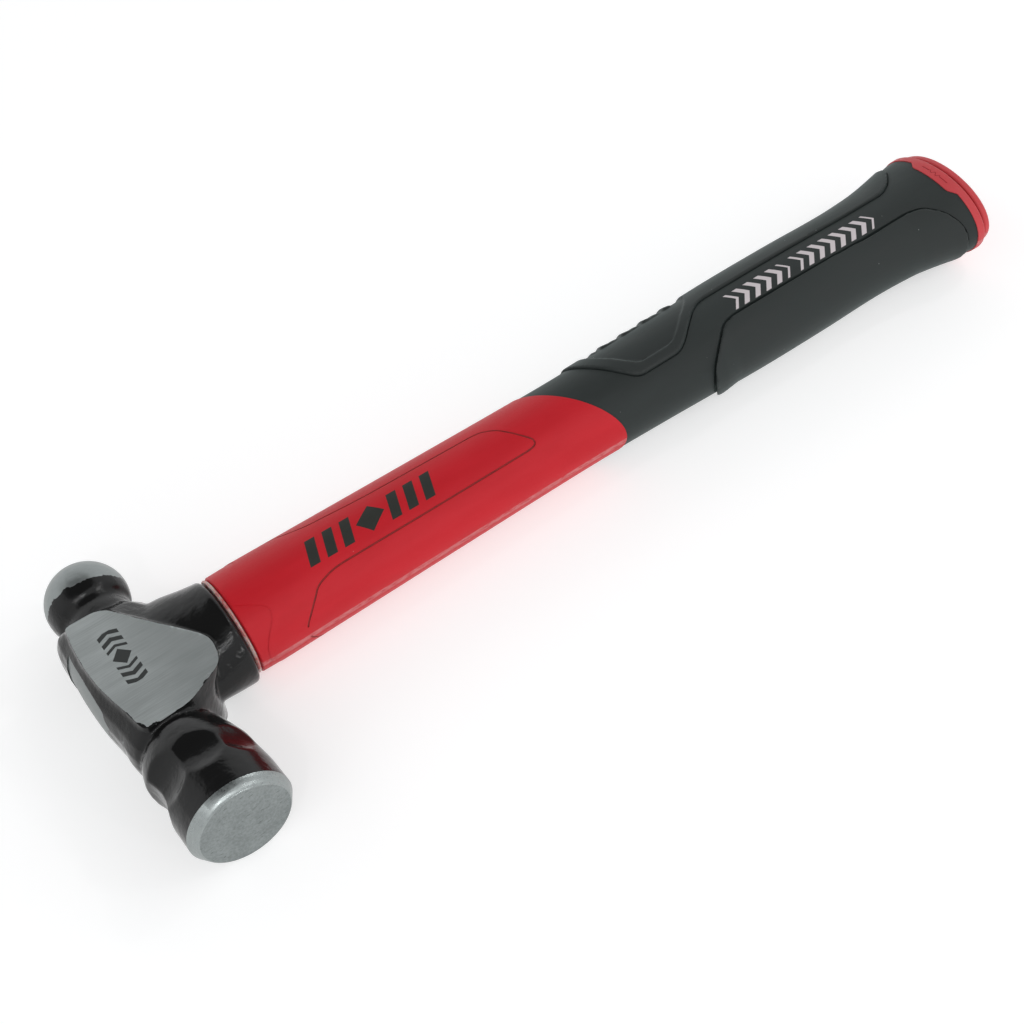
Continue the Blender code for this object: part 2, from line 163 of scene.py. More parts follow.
@dataclass(frozen=True)
class Profile:
    """A smooth run of ovals through measured stations.

    Attributes:
        stations: The measured ovals, in order of X.
    """

    stations: tuple[Section, ...]

    def at(self, x: float) -> Section:
        """Gives the oval at one distance, on a smooth curve through the stations.

        Args:
            x: The distance along X.

        Returns:
            The oval there.
        """
        known = self.stations
        if x <= known[0].x:
            return known[0].grown(0.0, x)
        if x >= known[-1].x:
            return known[-1].grown(0.0, x)
        index = max(i for i in range(len(known) - 1) if known[i].x <= x)
        before = known[max(index - 1, 0)]
        start, end = known[index], known[index + 1]
        after = known[min(index + 2, len(known) - 1)]
        span = end.x - start.x
        share = (x - start.x) / span

        def curve(name: str) -> float:
            """Follows a cubic through the four nearest stations.

            Args:
                name: Name of the measure that it follows.

            Returns:
                The measure at this place.
            """
            a, b, c, d = (getattr(item, name) for item in (before, start, end, after))
            into = (c - a) / max(end.x - before.x, 1e-6) * span
            out = (d - b) / max(after.x - start.x, 1e-6) * span
            s, t = share, share * share
            cube = t * s
            return (
                (2 * cube - 3 * t + 1) * b
                + (cube - 2 * t + s) * into
                + (3 * t - 2 * cube) * c
                + (cube - t) * out
            )

        return Section(x, curve("half_y"), curve("half_z"), curve("middle_y"))

    def run(self, start: float, end: float, step: float, grown: float = 0.0) -> list[Section]:
        """Gives evenly spaced ovals between two distances.

        Args:
            start: First distance.
            end: Last distance.
            step: Greatest spacing.
            grown: How much larger the ovals are on every side.

        Returns:
            The ovals.
        """
        count = max(2, round((end - start) / step) + 1)
        places = [start + (end - start) * i / (count - 1) for i in range(count)]
        return [self.at(x).grown(grown) for x in places]


def circle(
    bm: bmesh.types.BMesh, place: Matrix, radius: float, count: int, capped: bool
) -> list[bmesh.types.BMEdge]:
    """Adds a circle.

    Args:
        bm: Mesh that takes it.
        place: Its placement.
        radius: Its radius, before the placement stretches it.
        count: Number of its points.
        capped: Whether it is filled.

    Returns:
        Its edges.
    """
    made = bmesh.ops.create_circle(
        bm, cap_ends=capped, segments=count, radius=radius, matrix=place
    )
    return list({edge for vert in made["verts"] for edge in vert.link_edges})


def bridged(
    bm: bmesh.types.BMesh, rings: Iterable[list[bmesh.types.BMEdge]]
) -> bmesh.types.BMesh:
    """Skins rings of edges, each to the one before it, with the faces outwards.

    Args:
        bm: Mesh that holds the rings.
        rings: Edges of each ring, in order.

    Returns:
        The same mesh, as a solid.
    """
    previous = None
    for edges in rings:
        if previous is not None:
            bmesh.ops.bridge_loops(bm, edges=previous + edges)
        previous = edges
    bmesh.ops.recalc_face_normals(bm, faces=bm.faces)
    return bm


def loft(sections: Sequence[Section], count: int = FORGED) -> bmesh.types.BMesh:
    """Skins ovals into a closed solid.

    Args:
        sections: The ovals, in order.
        count: Number of points around.

    Returns:
        The solid.
    """
    bm = bmesh.new()

    def rings() -> Iterator[list[bmesh.types.BMEdge]]:
        """Adds each oval in turn, and fills the first and the last.

        Returns:
            The edges of each.
        """
        for number, item in enumerate(sections):
            place = (
                Matrix.Translation((item.x, item.middle_y, 0.0))
                @ Matrix.Diagonal((1.0, item.half_y, item.half_z, 1.0))
                @ Matrix.Rotation(pi / 2, 4, "Y")
            )
            yield circle(bm, place, 1.0, count, number in (0, len(sections) - 1))

    return bridged(bm, rings())


def turned(
    profile: Sequence[Point], steps: int = FORGED, closed: bool = False
) -> bmesh.types.BMesh:
    """Spins a profile about Y into a closed solid.

    Args:
        profile: Points of distance along Y and radius.
        steps: Number of steps around.
        closed: Whether the profile is a loop, and not a line with both ends on the axis.

    Returns:
        The solid.
    """
    bm = bmesh.new()
    verts = [bm.verts.new((radius, y, 0.0)) for y, radius in profile]
    first = 0 if closed else 1
    edges = [bm.edges.new((verts[i - 1], verts[i])) for i in range(first, len(verts))]
    bmesh.ops.spin(
        bm,
        geom=verts + edges,
        axis=(0, 1, 0),
        cent=(0, 0, 0),
        angle=2 * pi,
        steps=steps,
        use_merge=True,
    )
    bmesh.ops.remove_doubles(bm, verts=bm.verts, dist=MERGE)
    bmesh.ops.recalc_face_normals(bm, faces=bm.faces)
    return bm


def rounded(outline: Sequence[Point], cut: float, steps: int = 6) -> list[Point]:
    """Replaces each corner of a closed outline by a curve.

    Args:
        outline: Corners in X and Y.
        cut: How far from a corner its curve starts, at most half the shorter side.
        steps: Number of steps in each curve.

    Returns:
        The new outline.
    """
    points = []
    for number, here in enumerate(outline):
        corner = Vector(here)
        before = Vector(outline[number - 1]) - corner
        after = Vector(outline[(number + 1) % len(outline)]) - corner
        reach = min(cut, before.length * 0.48, after.length * 0.48)
        start = corner + before.normalized() * reach
        end = corner + after.normalized() * reach
        for step in range(steps + 1):
            share = step / steps
            point = start.lerp(corner, share).lerp(corner.lerp(end, share), share)
            points.append((point.x, point.y))
    return points


def widened(outline: Sequence[Point], by: float) -> list[Point]:
    """Moves a closed outline outwards.

    Args:
        outline: Points in X and Y.
        by: Distance outwards, or inwards where it is negative.

    Returns:
        The new outline.
    """
    size = len(outline)
    pairs = [(outline[i], outline[(i + 1) % size]) for i in range(size)]
    area = sum(a[0] * b[1] - b[0] * a[1] for a, b in pairs)
    side = by if area > 0 else -by
    moved = []
    for number, here in enumerate(outline):
        before, after = outline[number - 1], outline[(number + 1) % size]
        first = Vector((here[0] - before[0], here[1] - before[1])).normalized()
        second = Vector((after[0] - here[0], after[1] - here[1])).normalized()
        out = Vector((first.y + second.y, -first.x - second.x)).normalized() * side
        out /= max(0.5, sqrt((1.0 + first.dot(second)) / 2.0))
        moved.append((here[0] + out.x, here[1] + out.y))
    return moved


def prism(outline: Sequence[Point], low: float, high: float) -> bmesh.types.BMesh:
    """Extrudes a closed outline upwards.

    Args:
        outline: Points in X and Y.
        low: Height of its bottom.
        high: Height of its top.

    Returns:
        The solid.
    """
    bm = bmesh.new()
    face = bm.faces.new([bm.verts.new((x, y, low)) for x, y in outline])
    moved = bmesh.ops.extrude_face_region(bm, geom=[face])
    top = [item for item in moved["geom"] if isinstance(item, bmesh.types.BMVert)]
    bmesh.ops.translate(bm, verts=top, vec=(0.0, 0.0, high - low))
    bmesh.ops.recalc_face_normals(bm, faces=bm.faces)
    return bm


def block(low: Sequence[float], high: Sequence[float]) -> bmesh.types.BMesh:
    """Makes a box.

    Args:
        low: Its lowest corner.
        high: Its highest corner.

    Returns:
        The solid.
    """
    bm = bmesh.new()
    size = [b - a for a, b in zip(low, high)]
    middle = [(a + b) / 2 for a, b in zip(low, high)]
    place = Matrix.Translation(middle) @ Matrix.Diagonal((*size, 1.0))
    bmesh.ops.create_cube(bm, size=1.0, matrix=place)
    return bm


def sweep(path: Sequence[Vector], radius: float, sides: int = 10) -> bmesh.types.BMesh:
    """Makes a round bar along a path of points.

    Args:
        path: The points.
        radius: Radius of the bar.
        sides: Number of sides around it.

    Returns:
        The solid.
    """
    bm = bmesh.new()
    last = len(path) - 1

    def rings() -> Iterator[list[bmesh.types.BMEdge]]:
        """Adds a circle at each point, turned along the path.

        Returns:
            The edges of each.
        """
        heading = path[1] - path[0]
        turn = heading.to_track_quat("Z", "Y")
        for number, here in enumerate(path):
            ahead = path[min(number + 1, last)] - path[max(number - 1, 0)]
            turn = heading.rotation_difference(ahead) @ turn
            heading = ahead
            place = Matrix.Translation(here) @ turn.to_matrix().to_4x4()
            yield circle(bm, place, radius, sides, number in (0, last))

    return bridged(bm, rings())


def make_object(
    name: str, bm: bmesh.types.BMesh, material: bpy.types.Material | None = None
) -> bpy.types.Object:
    """Puts a mesh in the scene.

    Args:
        name: Name of the object.
        bm: The mesh, which is freed.
        material: Its material, if any.

    Returns:
        The object.
    """
    mesh = bpy.data.meshes.new(name)
    bm.to_mesh(mesh)
    bm.free()
    if material is not None:
        mesh.materials.append(material)
    obj = bpy.data.objects.new(name, mesh)
    bpy.context.scene.collection.objects.link(obj)
    return obj


def settle(obj: bpy.types.Object) -> None:
    """Applies an object's modifiers to its mesh.

    Args:
        obj: The object.
    """
    depsgraph = bpy.context.evaluated_depsgraph_get()
    made = bpy.data.meshes.new_from_object(
        obj.evaluated_get(depsgraph), preserve_all_data_layers=True, depsgraph=depsgraph
    )
    old = obj.data
    obj.modifiers.clear()
    obj.data = made
    bpy.data.meshes.remove(old)


def carve(
    obj: bpy.types.Object,
    tool: bmesh.types.BMesh | bpy.types.Object,
    cut: Cut = Cut.TAKE,
    material: bpy.types.Material | None = None,
) -> None:
    """Works on an object with a tool solid, which is used up.

    Args:
        obj: The object.
        tool: The tool, as a mesh or an object.
        cut: What the tool does.
        material: Material of the faces that the tool leaves, if not the object's own.
    """
    if isinstance(tool, bmesh.types.BMesh):
        own = obj.data.materials[0] if obj.data.materials else None
        tool = make_object("tool", tool, material or own)
    modifier = obj.modifiers.new("carve", "BOOLEAN")
    modifier.object = tool
    modifier.operation = cut.value
    modifier.solver = "EXACT"
    modifier.material_mode = "TRANSFER"
    settle(obj)
    data = tool.data
    bpy.data.objects.remove(tool)
    bpy.data.meshes.remove(data)


def reskin(obj: bpy.types.Object, voxel: float, smoothing: int) -> None:
    """Joins overlapping solids into one skin and rounds it a little, as a casting or forging is.

    Args:
        obj: The object.
        voxel: Size of the skin's faces.
        smoothing: Number of smoothing passes.
    """
    remesh = obj.modifiers.new("skin", "REMESH")
    remesh.mode = "VOXEL"
    remesh.voxel_size = voxel
    remesh.adaptivity = 0.0
    smooth = obj.modifiers.new("round", "SMOOTH")
    smooth.factor = 0.5
    smooth.iterations = smoothing
    settle(obj)


def finish_piece(
    obj: bpy.types.Object,
    place: Matrix,
    slot: Slot,
    nodes: Sequence[str],
    sharp: float = 32.0,
) -> bpy.types.Object:
    """Moves a finished piece into the frame, hides the CAD nodes that it replaces and logs its
    size.

    Args:
        obj: The piece, in millimetres.
        place: Its placement.
        slot: The record's slot; not used.
        nodes: CAD nodes that it replaces.
        sharp: Angle in degrees above which an edge stays sharp.

    Returns:
        The piece.
    """
    mesh = obj.data
    mesh.transform(place)
    mesh.shade_smooth()
    mesh.set_sharp_from_angle(angle=radians(sharp))
    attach(obj, BODY)
    if nodes:
        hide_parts(*nodes)
    low = [min(v.co[i] for v in mesh.vertices) for i in range(3)]
    high = [max(v.co[i] for v in mesh.vertices) for i in range(3)]
    size = " x ".join(f"{(b - a) / MM:.1f}" for a, b in zip(low, high))
    LOG.info("%s: %d faces, %s mm", obj.name, len(mesh.polygons), size)
    return obj


# ---------------------------------------------------------------- Material nodes


class Sheet:
    """A material's nodes, with short ways to add and join them.

    Positions are in millimetres from the middle of the head, along the piece's own axes.
    """

    def __init__(self, name: str, place: Matrix) -> None:
        """Starts a material.

        Args:
            name: Its name.
            place: Placement of the piece that it dresses.
        """
        self.material = bpy.data.materials.new(name)
        self.material.use_nodes = True
        self.tree = self.material.node_tree
        self.shader = self.tree.nodes["Principled BSDF"]
        self.place = place
        self.position = self._position()

    def _position(self) -> Socket:
        """Moves and turns Object coordinates back into the piece's own millimetres.

        Returns:
            The position.
        """
        back = self.place.inverted()
        mapping = self.add("ShaderNodeMapping")
        mapping.vector_type = "POINT"
        mapping.inputs["Scale"].default_value = back.to_scale()
        mapping.inputs["Rotation"].default_value = back.to_euler()
        mapping.inputs["Location"].default_value = back.to_translation()
        coordinates = self.add("ShaderNodeTexCoord")
        self.join(coordinates.outputs["Object"], mapping.inputs["Vector"])
        return mapping.outputs["Vector"]

    def add(self, kind: str) -> bpy.types.Node:
        """Adds a node of a kind."""
        return self.tree.nodes.new(kind)

    def join(self, source: Socket | float | Colour, target: Socket) -> None:
        """Links a socket to an input, or sets the input to a plain value.

        Args:
            source: The socket or the value.
            target: The input.
        """
        if isinstance(source, bpy.types.NodeSocket):
            self.tree.links.new(source, target)
        elif isinstance(source, tuple) and target.type == "RGBA":
            target.default_value = (*source, 1.0)
        else:
            target.default_value = source

    def math(self, operation: str, first: Socket | float, second: Socket | float = 0.0) -> Socket:
        """Adds a sum of one or two numbers.

        Args:
            operation: Name of the sum.
            first: The first number.
            second: The second number, where the sum takes one.

        Returns:
            The result.
        """
        node = self.add("ShaderNodeMath")
        node.operation = operation
        self.join(first, node.inputs[0])
        self.join(second, node.inputs[1])
        return node.outputs[0]

    def times(self, first: Socket | float, second: Socket | float) -> Socket:
        """Multiplies two numbers."""
        return self.math("MULTIPLY", first, second)

    def plus(self, first: Socket | float, second: Socket | float) -> Socket:
        """Adds two numbers."""
        return self.math("ADD", first, second)

    def minus(self, first: Socket | float, second: Socket | float) -> Socket:
        """Takes the second number from the first."""
        return self.math("SUBTRACT", first, second)

    def far(self, value: Socket, middle: float) -> Socket:
        """Gives the distance of a value from a middle, on either side of it."""
        return self.math("ABSOLUTE", self.minus(value, middle))

    def repeat(self, value: Socket, pitch: float) -> Socket:
        """Gives a value that runs from zero to one over each pitch of another."""
        return self.math("FRACT", self.math("DIVIDE", value, pitch))

    def axes(self) -> tuple[Socket, Socket, Socket]:
        """Splits the position.

        Returns:
            Its X, Y and Z.
        """
        node = self.add("ShaderNodeSeparateXYZ")
        self.join(self.position, node.inputs[0])
        return node.outputs[0], node.outputs[1], node.outputs[2]

    def stretched(self, scale: Vector3) -> Socket:
        """Stretches the position.

        Args:
            scale: How much, along each axis.

        Returns:
            The stretched position.
        """
        node = self.add("ShaderNodeMapping")
        node.inputs["Scale"].default_value = scale
        self.join(self.position, node.inputs["Vector"])
        return node.outputs["Vector"]

    def noise(
        self,
        scale: float | Vector3,
        detail: float = 2.0,
        roughness: float = 0.5,
        distortion: float = 0.0,
    ) -> Socket:
        """Adds noise over the position.

        Args:
            scale: Number of features per millimetre, the same or one for each axis.
            detail: Number of finer layers.
            roughness: Strength of the finer layers.
            distortion: How much it is warped.

        Returns:
            Values about 0.5.
        """
        node = self.add("ShaderNodeTexNoise")
        each = scale if isinstance(scale, tuple) else (scale, scale, scale)
        self.join(self.stretched(each), node.inputs["Vector"])
        node.inputs["Scale"].default_value = 1.0
        node.inputs["Detail"].default_value = detail
        node.inputs["Roughness"].default_value = roughness
        node.inputs["Distortion"].default_value = distortion
        return node.outputs["Fac"]

    def specks(self, scale: float, size: float) -> Socket:
        """Adds sparse round specks.

        Args:
            scale: Cells per millimetre.
            size: Size of a speck as a share of its cell.

        Returns:
            One in a speck and zero between.
        """
        node = self.add("ShaderNodeTexVoronoi")
        self.join(self.stretched((scale, scale, scale)), node.inputs["Vector"])
        node.inputs["Scale"].default_value = 1.0
        node.inputs["Randomness"].default_value = 1.0
        return self.ramp(node.outputs["Distance"], size, size * 0.55)

    def ramp(
        self, value: Socket, start: float, end: float, low: float = 0.0, high: float = 1.0
    ) -> Socket:
        """Eases from one level to another as a value goes from start to end.

        Args:
            value: The value.
            start: Where the first level ends.
            end: Where the second level begins.
            low: The first level.
            high: The second level.

        Returns:
            The level.
        """
        node = self.add("ShaderNodeMapRange")
        node.interpolation_type = "SMOOTHSTEP"
        self.join(value, node.inputs["Value"])
        limits = {"From Min": start, "From Max": end, "To Min": low, "To Max": high}
        for name, limit in limits.items():
            node.inputs[name].default_value = limit
        return node.outputs["Result"]

    def within(self, value: Socket, low: float, high: float, soft: float) -> Socket:
        """Gives one between two levels and zero outside.

        Args:
            value: The value.
            low: The lower level.
            high: The higher level.
            soft: How far each end fades, to either side.

        Returns:
            The share.
        """
        above = self.ramp(value, low - soft, low + soft)
        below = self.ramp(value, high + soft, high - soft)
        return self.times(above, below)

    def mix(
        self, share: Socket | float, first: Socket | Colour, second: Socket | Colour
    ) -> Socket:
        """Mixes two colours.

        Args:
            share: Share of the second.
            first: The first colour.
            second: The second colour.

        Returns:
            The colour.
        """
        node = self.add("ShaderNodeMix")
        node.data_type = "RGBA"
        self.join(share, node.inputs["Factor"])
        self.join(first, node.inputs[6])
        self.join(second, node.inputs[7])
        return node.outputs[2]

    def blend(
        self, share: Socket | float, first: Socket | float, second: Socket | float
    ) -> Socket:
        """Mixes two numbers.

        Args:
            share: Share of the second.
            first: The first number.
            second: The second number.

        Returns:
            The number.
        """
        node = self.add("ShaderNodeMix")
        node.data_type = "FLOAT"
        self.join(share, node.inputs["Factor"])
        self.join(first, node.inputs[2])
        self.join(second, node.inputs[3])
        return node.outputs[0]

    def attribute(self, name: str) -> Socket:
        """Reads a number stored on the mesh.

        Args:
            name: Its name.

        Returns:
            The number.
        """
        node = self.add("ShaderNodeAttribute")
        node.attribute_name = name
        return node.outputs["Fac"]

    def bump(self, height: Socket, depth: float, below: Socket | None = None) -> Socket:
        """Adds relief.

        Args:
            height: The relief, from zero to one.
            depth: What one stands for, in millimetres.
            below: Relief that this one lies on.

        Returns:
            The bent normal.
        """
        node = self.add("ShaderNodeBump")
        node.inputs["Strength"].default_value = 1.0
        node.inputs["Distance"].default_value = depth * MM
        self.join(height, node.inputs["Height"])
        if below is not None:
            self.join(below, node.inputs["Normal"])
        return node.outputs["Normal"]

    def set(self, **values: Socket | float | Colour) -> None:
        """Sets or links inputs of the shader, named with underscores for spaces."""
        for name, value in values.items():
            self.join(value, self.shader.inputs[name.replace("_", " ")])


# ---------------------------------------------------------------- Finishes


@dataclass(frozen=True)
class HeadPaint:
    """Thick glossy black paint on the raw forging, worn back to steel on the ball.

    Attributes:
        black: Colour of the paint.
        steel: Colour of the bare ball.
        shaded: Colour of the darker grain in it.
        ball_middle: Middle of the ball along Y.
        neck_end: Lowest and highest Y over which the ball may be bare.
        tilt: Direction in which the ball's bare cap faces.
        drop: How far the cap reaches below the ball's middle.
        gloss: Lowest and highest roughness of the paint.
        dull: Roughness of the bare steel.
        thickness: Thickness of the paint, in millimetres.
    """

    black: Colour = (0.0065, 0.0065, 0.0065)
    steel: Colour = (0.295, 0.318, 0.315)
    shaded: Colour = (0.27, 0.29, 0.288)
    ball_middle: float = 37.9
    neck_end: Point = (31.0, 32.0)
    tilt: Vector3 = (0.095, 0.991, 0.089)
    drop: float = 0.9
    gloss: Point = (0.04, 0.09)
    dull: float = 0.42
    thickness: float = 0.12

    def bare(self, sheet: Sheet) -> Socket:
        """Bares the ball's cap and the edges of the ground steel, along a torn line.

        Args:
            sheet: The material's nodes.

        Returns:
            One on bare steel and zero on paint.
        """
        x, y, z = sheet.axes()
        edge = sheet.plus(sheet.attribute("edge"), -0.10)
        torn = sheet.times(sheet.minus(sheet.noise(1.3, 4.0), 0.5), 1.1)
        bare_edge = sheet.ramp(sheet.plus(edge, torn), 0.0, 0.07)
        cap = sheet.plus(sheet.times(x, self.tilt[0]), sheet.times(z, self.tilt[2]))
        cap = sheet.plus(cap, sheet.times(sheet.minus(y, self.ball_middle), self.tilt[1]))
        wander = sheet.minus(sheet.noise(0.22, 2.0), 0.5)
        cap = sheet.plus(cap, sheet.times(wander, 3.0))
        cap = sheet.plus(cap, sheet.times(torn, 0.9))
        bare_ball = sheet.ramp(sheet.plus(cap, self.drop), -0.04, 0.08)
        bare_ball = sheet.times(bare_ball, sheet.ramp(y, *self.neck_end))
        return sheet.math("MAXIMUM", bare_edge, bare_ball)

    def make(self, place: Matrix) -> bpy.types.Material:
        """Builds the material.

        Args:
            place: Placement of the head.

        Returns:
            The material.
        """
        sheet = Sheet("black_paint", place)
        bare = self.bare(sheet)
        grain = sheet.noise((0.5, 3.0, 0.5), 3.0, 0.6)
        steel = sheet.mix(sheet.ramp(grain, 0.3, 0.7), self.steel, self.shaded)
        gloss = sheet.ramp(sheet.noise(0.3), 0.3, 0.7, *self.gloss)
        waves = sheet.bump(sheet.noise(0.24, 2.0), 0.22)
        peel = sheet.bump(sheet.noise(1.2, 4.0, 0.65), 0.06, waves)
        film = sheet.bump(sheet.minus(1.0, bare), self.thickness, peel)
        sheet.set(
            Base_Color=sheet.mix(bare, self.black, steel),
            Metallic=bare,
            Roughness=sheet.blend(bare, gloss, self.dull),
            Specular_IOR_Level=0.28,
            Normal=sheet.bump(grain, 0.012, film),
        )
        return sheet.material


@dataclass(frozen=True)
class GroundSteel:
    """Steel ground back through the paint on the cheeks and the crown, with paint left at edges
    and painted shade towards the handle and on the crown.

    Attributes:
        light: Lighter steel.
        dark: Darker steel.
        shaded: Darker steel, painted shade on the side towards the handle.
        crown: Darker steel, painted shade on the crown.
        mark: Colour of the etched device.
        mark_box: Lowest and highest X and Y of the device.
        mark_height: Lowest and highest Z over which the device fades in.
        bar_pitch: Distance between its bars.
        paint_gloss: Roughness of the paint left at the edges.
        mark_dull: Roughness of the device.
        thickness: Thickness of the paint, in millimetres.
    """

    light: Colour = (0.61, 0.65, 0.645)
    dark: Colour = (0.475, 0.51, 0.505)
    shaded: Colour = (0.29, 0.312, 0.31)
    crown: Colour = (0.225, 0.243, 0.241)
    mark: Colour = (0.035, 0.038, 0.037)
    mark_box: tuple[float, float, float, float] = (-5.4, 1.1, -8.7, 13.1)
    mark_height: Point = (10.0, 11.0)
    bar_pitch: float = 3.1
    paint_gloss: float = 0.12
    mark_dull: float = 0.6
    thickness: float = 0.12

    def device(self, sheet: Sheet) -> Socket:
        """Draws slanted bars on both sides of a lozenge, on the upper cheek only.

        Args:
            sheet: The material's nodes.

        Returns:
            One on the device and zero beside it.
        """
        x, y, z = sheet.axes()
        left, right, low, high = self.mark_box
        half_x, half_y = (right - left) / 2, (high - low) / 2
        across = sheet.far(x, (left + right) / 2)
        along = sheet.far(y, (low + high) / 2)
        slant = sheet.plus(along, sheet.times(across, 0.45))
        bars = sheet.within(sheet.repeat(slant, self.bar_pitch), 0.12, 0.66, 0.03)
        bars = sheet.times(bars, sheet.ramp(slant, 4.0, 4.1))
        bars = sheet.times(bars, sheet.ramp(along, half_y, half_y - 0.1))
        lozenge = sheet.ramp(sheet.plus(sheet.times(along, 0.95), across), 3.1, 2.95)
        shape = sheet.math("MAXIMUM", bars, lozenge)
        shape = sheet.times(shape, sheet.ramp(across, half_x, half_x - 0.1))
        return sheet.times(shape, sheet.ramp(z, *self.mark_height))

    def bare(self, sheet: Sheet) -> Socket:
        """Leaves a torn rim of paint at the edges, wider towards the striking end.

        Args:
            sheet: The material's nodes.

        Returns:
            One on bare steel and zero on paint.
        """
        _, y, _ = sheet.axes()
        reach = sheet.ramp(sheet.noise(0.21, 1.0), 0.5, 0.72, 0.05, 0.75)
        torn = sheet.times(sheet.noise(1.1, 4.0, 0.6), sheet.times(reach, 2.4))
        torn = sheet.times(torn, sheet.ramp(y, -10.0, -20.0, 0.15, 1.0))
        return sheet.ramp(sheet.minus(sheet.attribute("edge"), torn), 0.0, 0.08)

    def make(self, place: Matrix, black: Colour) -> bpy.types.Material:
        """Builds the material.

        Args:
            place: Placement of the head.
            black: Colour of the paint left at the edges.

        Returns:
            The material.
        """
        sheet = Sheet("ground_steel", place)
        x, _, _ = sheet.axes()
        bare = self.bare(sheet)
        mark = self.device(sheet)
        brushed = sheet.noise((0.09, 3.0, 3.0), 4.0, 0.65)
        cloud = sheet.noise((0.06, 0.16, 0.16), 2.0)
        share = sheet.ramp(sheet.blend(0.35, brushed, cloud), 0.32, 0.68)
        steel = sheet.mix(share, self.dark, self.light)
        # Painted shade: the steel darkens towards the handle.
        steel = sheet.mix(sheet.ramp(x, -4.0, 14.0, 0.0, 0.45), steel, self.shaded)
        # Painted shade: the crown, ground like the cheeks, is painted darker.
        steel = sheet.mix(sheet.ramp(x, -12.9, -14.2), steel, self.crown)
        steel = sheet.mix(mark, steel, self.mark)
        polish = sheet.ramp(brushed, 0.3, 0.7, 0.38, 0.46)
        worked = sheet.blend(mark, polish, self.mark_dull)
        lines = sheet.bump(brushed, 0.015)
        sheet.set(
            Base_Color=sheet.mix(bare, black, steel),
            Metallic=sheet.times(bare, sheet.blend(mark, 1.0, 0.35)),
            Roughness=sheet.blend(bare, self.paint_gloss, worked),
            Normal=sheet.bump(sheet.minus(1.0, bare), self.thickness, lines),
        )
        return sheet.material


@dataclass(frozen=True)
class FaceSteel:
    """Bare steel of the striking end, mottled on the flat and turned on the chamfer.

    Attributes:
        light: Lighter steel.
        dark: Darker steel.
        score: Colour of the small scores in the flat.
        polished: Lighter steel that the turning leaves on the chamfer.
    """

    light: Colour = (0.285, 0.311, 0.309)
    dark: Colour = (0.215, 0.236, 0.234)
    score: Colour = (0.125, 0.138, 0.137)
    polished: Colour = (0.48, 0.515, 0.51)

    def flat(self, place: Matrix) -> bpy.types.Material:
        """Builds the material of the flat.

        Args:
            place: Placement of the head.

        Returns:
            The material.
        """
        sheet = Sheet("face_flat_steel", place)
        mottle = sheet.noise(1.1, 5.0, 0.7)
        cloud = sheet.noise(0.16, 2.0)
        scores = sheet.ramp(sheet.noise((0.40, 1.0, 2.8), 2.0, 0.5, 0.3), 0.30, 0.365)
        share = sheet.ramp(sheet.blend(0.4, mottle, cloud), 0.36, 0.62)
        sheet.set(
            Base_Color=sheet.mix(scores, self.score, sheet.mix(share, self.dark, self.light)),
            Metallic=1.0,
            Roughness=sheet.ramp(mottle, 0.3, 0.7, 0.52, 0.42),
            Normal=sheet.bump(mottle, 0.05),
        )
        return sheet.material

    def chamfer(self, place: Matrix) -> bpy.types.Material:
        """Builds the material of the chamfer, brushed along its own ring.

        Args:
            place: Placement of the head.

        Returns:
            The material.
        """
        sheet = Sheet("chamfer_steel", place)
        rings = sheet.noise((0.3, 4.0, 0.3), 3.0, 0.6)
        mottle = sheet.noise(0.9, 4.0, 0.7)
        share = sheet.ramp(sheet.blend(0.5, rings, mottle), 0.35, 0.65)
        steel = sheet.mix(share, self.dark, self.light)
        tangent = sheet.add("ShaderNodeTangent")
        tangent.direction_type = "UV_MAP"
        tangent.uv_map = "brush"
        sheet.set(
            Base_Color=sheet.mix(0.3, steel, self.polished),
            Metallic=1.0,
            Roughness=sheet.ramp(mottle, 0.3, 0.7, 0.25, 0.34),
            Anisotropic=0.8,
            Normal=sheet.bump(rings, 0.02),
            Tangent=tangent.outputs["Tangent"],
        )
        return sheet.material


